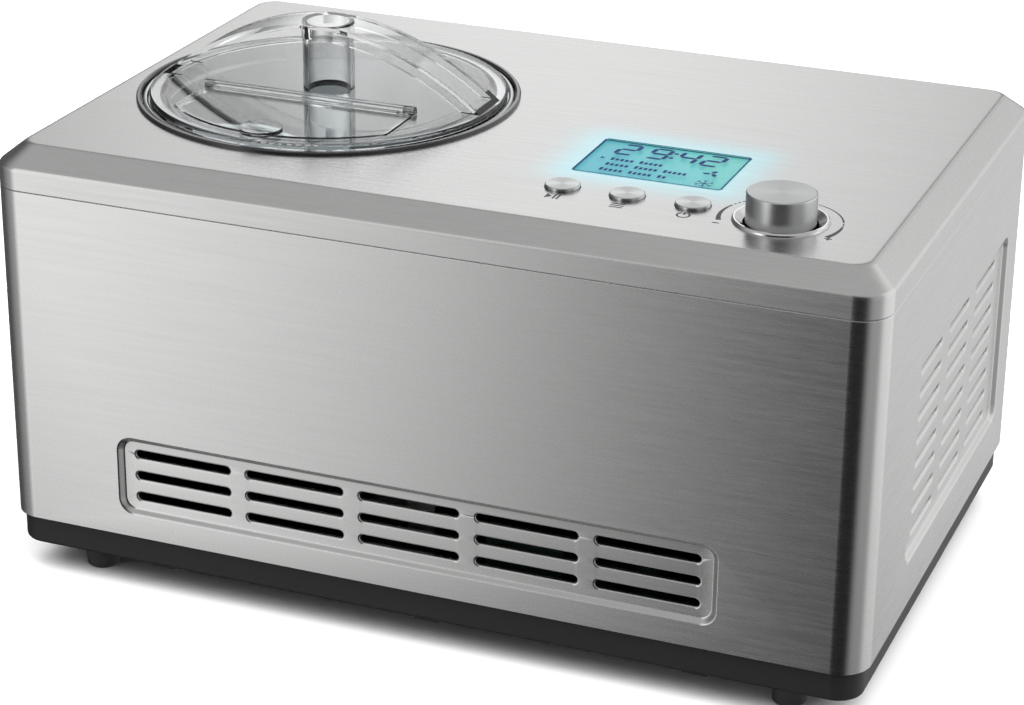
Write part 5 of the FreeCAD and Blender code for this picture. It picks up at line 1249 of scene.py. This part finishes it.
@dataclass
class Studio:
    """Pale floor, soft light and the camera.

    The surroundings are tall soft panels, with one bright panel behind and an even ceiling.  A panel
    is given as the azimuths where the brightness starts and stops changing, and the change.  They are
    darker low down.  A lamp is given as its name, azimuth, elevation, size and power.
    """

    sensor_mm: float = 36.0
    lens_mm: float = 100.62
    clip_end: float = 20.0
    azimuth_deg: float = 21.50
    elevation_deg: float = 23.14
    roll_deg: float = 0.59
    position: tuple[float, float, float] = (0.4676, -1.2052, 0.6467)
    darkest: float = 0.03
    behind_left: float = 0.11
    panels: tuple[tuple[float, float, float], ...] = (
        (-100.0, -55.0, 0.35), (-55.0, -31.0, 1.10), (-32.0, -12.0, -1.55), (30.0, 62.0, 0.50),
        (82.0, 108.0, 0.60), (148.0, 166.0, -0.40),
    )
    low_level: float = 0.34
    low_range: Pair = (-0.60, -0.36)
    ceiling: float = 0.55
    ceiling_range: Pair = (0.45, 0.85)
    rear_azimuth_deg: float = 201.0
    rear_elevation_deg: float = 18.0
    rear_strength: float = 1.3
    rear_sharpness: float = 34.0
    lamps: tuple[tuple[str, float, float, float, float], ...] = (
        ("key_light", -40.0, 60.0, 1.6, 34.0), ("fill_light", 60.0, 50.0, 1.6, 34.0),
        ("rim_light", 170.0, 50.0, 1.2, 20.0),
    )
    lamp_distance: float = 1.8
    floor_half: float = 6.0
    floor_corner: float = 0.5

    def build(self) -> None:
        """Sets up the camera, the surroundings, the lamps and the floor."""
        self._camera()
        self._surroundings()
        self._lamps()
        self._floor()
        bpy.context.scene.view_settings.view_transform = "Standard"

    def _camera(self) -> None:
        """Camera that looks along its azimuth and elevation."""
        data = bpy.data.cameras.new("camera")
        data.sensor_width = self.sensor_mm
        data.lens = self.lens_mm
        data.clip_end = self.clip_end
        made = linked("camera", data)
        back = Vector(toward(self.azimuth_deg, self.elevation_deg))
        right = Vector(TOP).cross(back).normalized()
        up = back.cross(right)
        turn = Matrix((right, up, back)).transposed() @ Matrix.Rotation(math.radians(self.roll_deg), 3, "Z")
        made.matrix_world = Matrix.Translation(self.position) @ turn.to_4x4()
        bpy.context.scene.camera = made

    def _surroundings(self) -> None:
        """World light: smooth steps of azimuth, a rear patch exp(k (d . p - 1)) and a ceiling."""
        world = bpy.data.worlds.new("studio")
        world.use_nodes = True
        graph = Graph(world.node_tree)
        direction = graph.place("Generated")
        x, y, z = graph.split(direction)
        azimuth = x.angle(y * -1.0)
        level: Operand = self.behind_left
        for start, end, change in self.panels:
            level = azimuth.rise(start, end) * change + level
        rear_middle = toward(self.rear_azimuth_deg, self.rear_elevation_deg)
        rear = graph.node("ShaderNodeVectorMath", {"operation": "DOT_PRODUCT"},
                          {0: direction, 1: rear_middle}, "Value")
        patch = ((rear - 1.0) * self.rear_sharpness).exponential() * self.rear_strength
        high = z.rise(*self.ceiling_range)
        lower = z.rise(*self.low_range) * (1.0 - self.low_level) + self.low_level
        level = level.at_least(self.darkest) * lower * (1.0 - high) + high * self.ceiling + patch
        background = graph.node("ShaderNodeBackground", inputs={0: (1.0, 1.0, 1.0, 1.0), 1: level})
        output = graph.tree.nodes.new("ShaderNodeOutputWorld")
        graph.tree.links.new(background.socket, output.inputs[0])
        bpy.context.scene.world = world

    def _lamps(self) -> None:
        """Large soft lamps that light the floor and the plastics, and don't show in the metal."""
        for name, azimuth, elevation, size, power in self.lamps:
            data = bpy.data.lights.new(name, "AREA")
            data.shape = "SQUARE"
            data.size = size
            data.energy = power
            made = linked(name, data)
            away = Vector(toward(azimuth, elevation))
            made.location = away * self.lamp_distance
            made.rotation_euler = away.to_track_quat("Z", "Y").to_euler()
            made.visible_glossy = False
            made.visible_transmission = False

    def _floor(self) -> None:
        """Plain pale floor, which steel doesn't reflect."""
        skin = Skin()
        board = Plane((0.0, 0.0, 0.0), ALONG_X, ALONG_Y)
        half = (self.floor_half, self.floor_half)
        skin.fill(board, 0.0, rounded_ring((0.0, 0.0), half, self.floor_corner, 8))
        made = linked("floor", skin.mesh("floor"))
        dress(made, Moulded("pale_floor", (0.86, 0.86, 0.86), 0.7, grain=40.0, depth=0.0, spread=0.01))
        made.visible_glossy = False


def main() -> None:
    """Builds the sub-assemblies in order and reports each."""
    logging.basicConfig(level=logging.INFO, format="%(name)s %(message)s")
    for part in (Works(), Shell(), TopCover(), Controls(), Readout(), PrintedMarks(), Studio()):
        part.build()
        log.info("built %s", type(part).__name__)


if __name__ == "__main__":
    main()
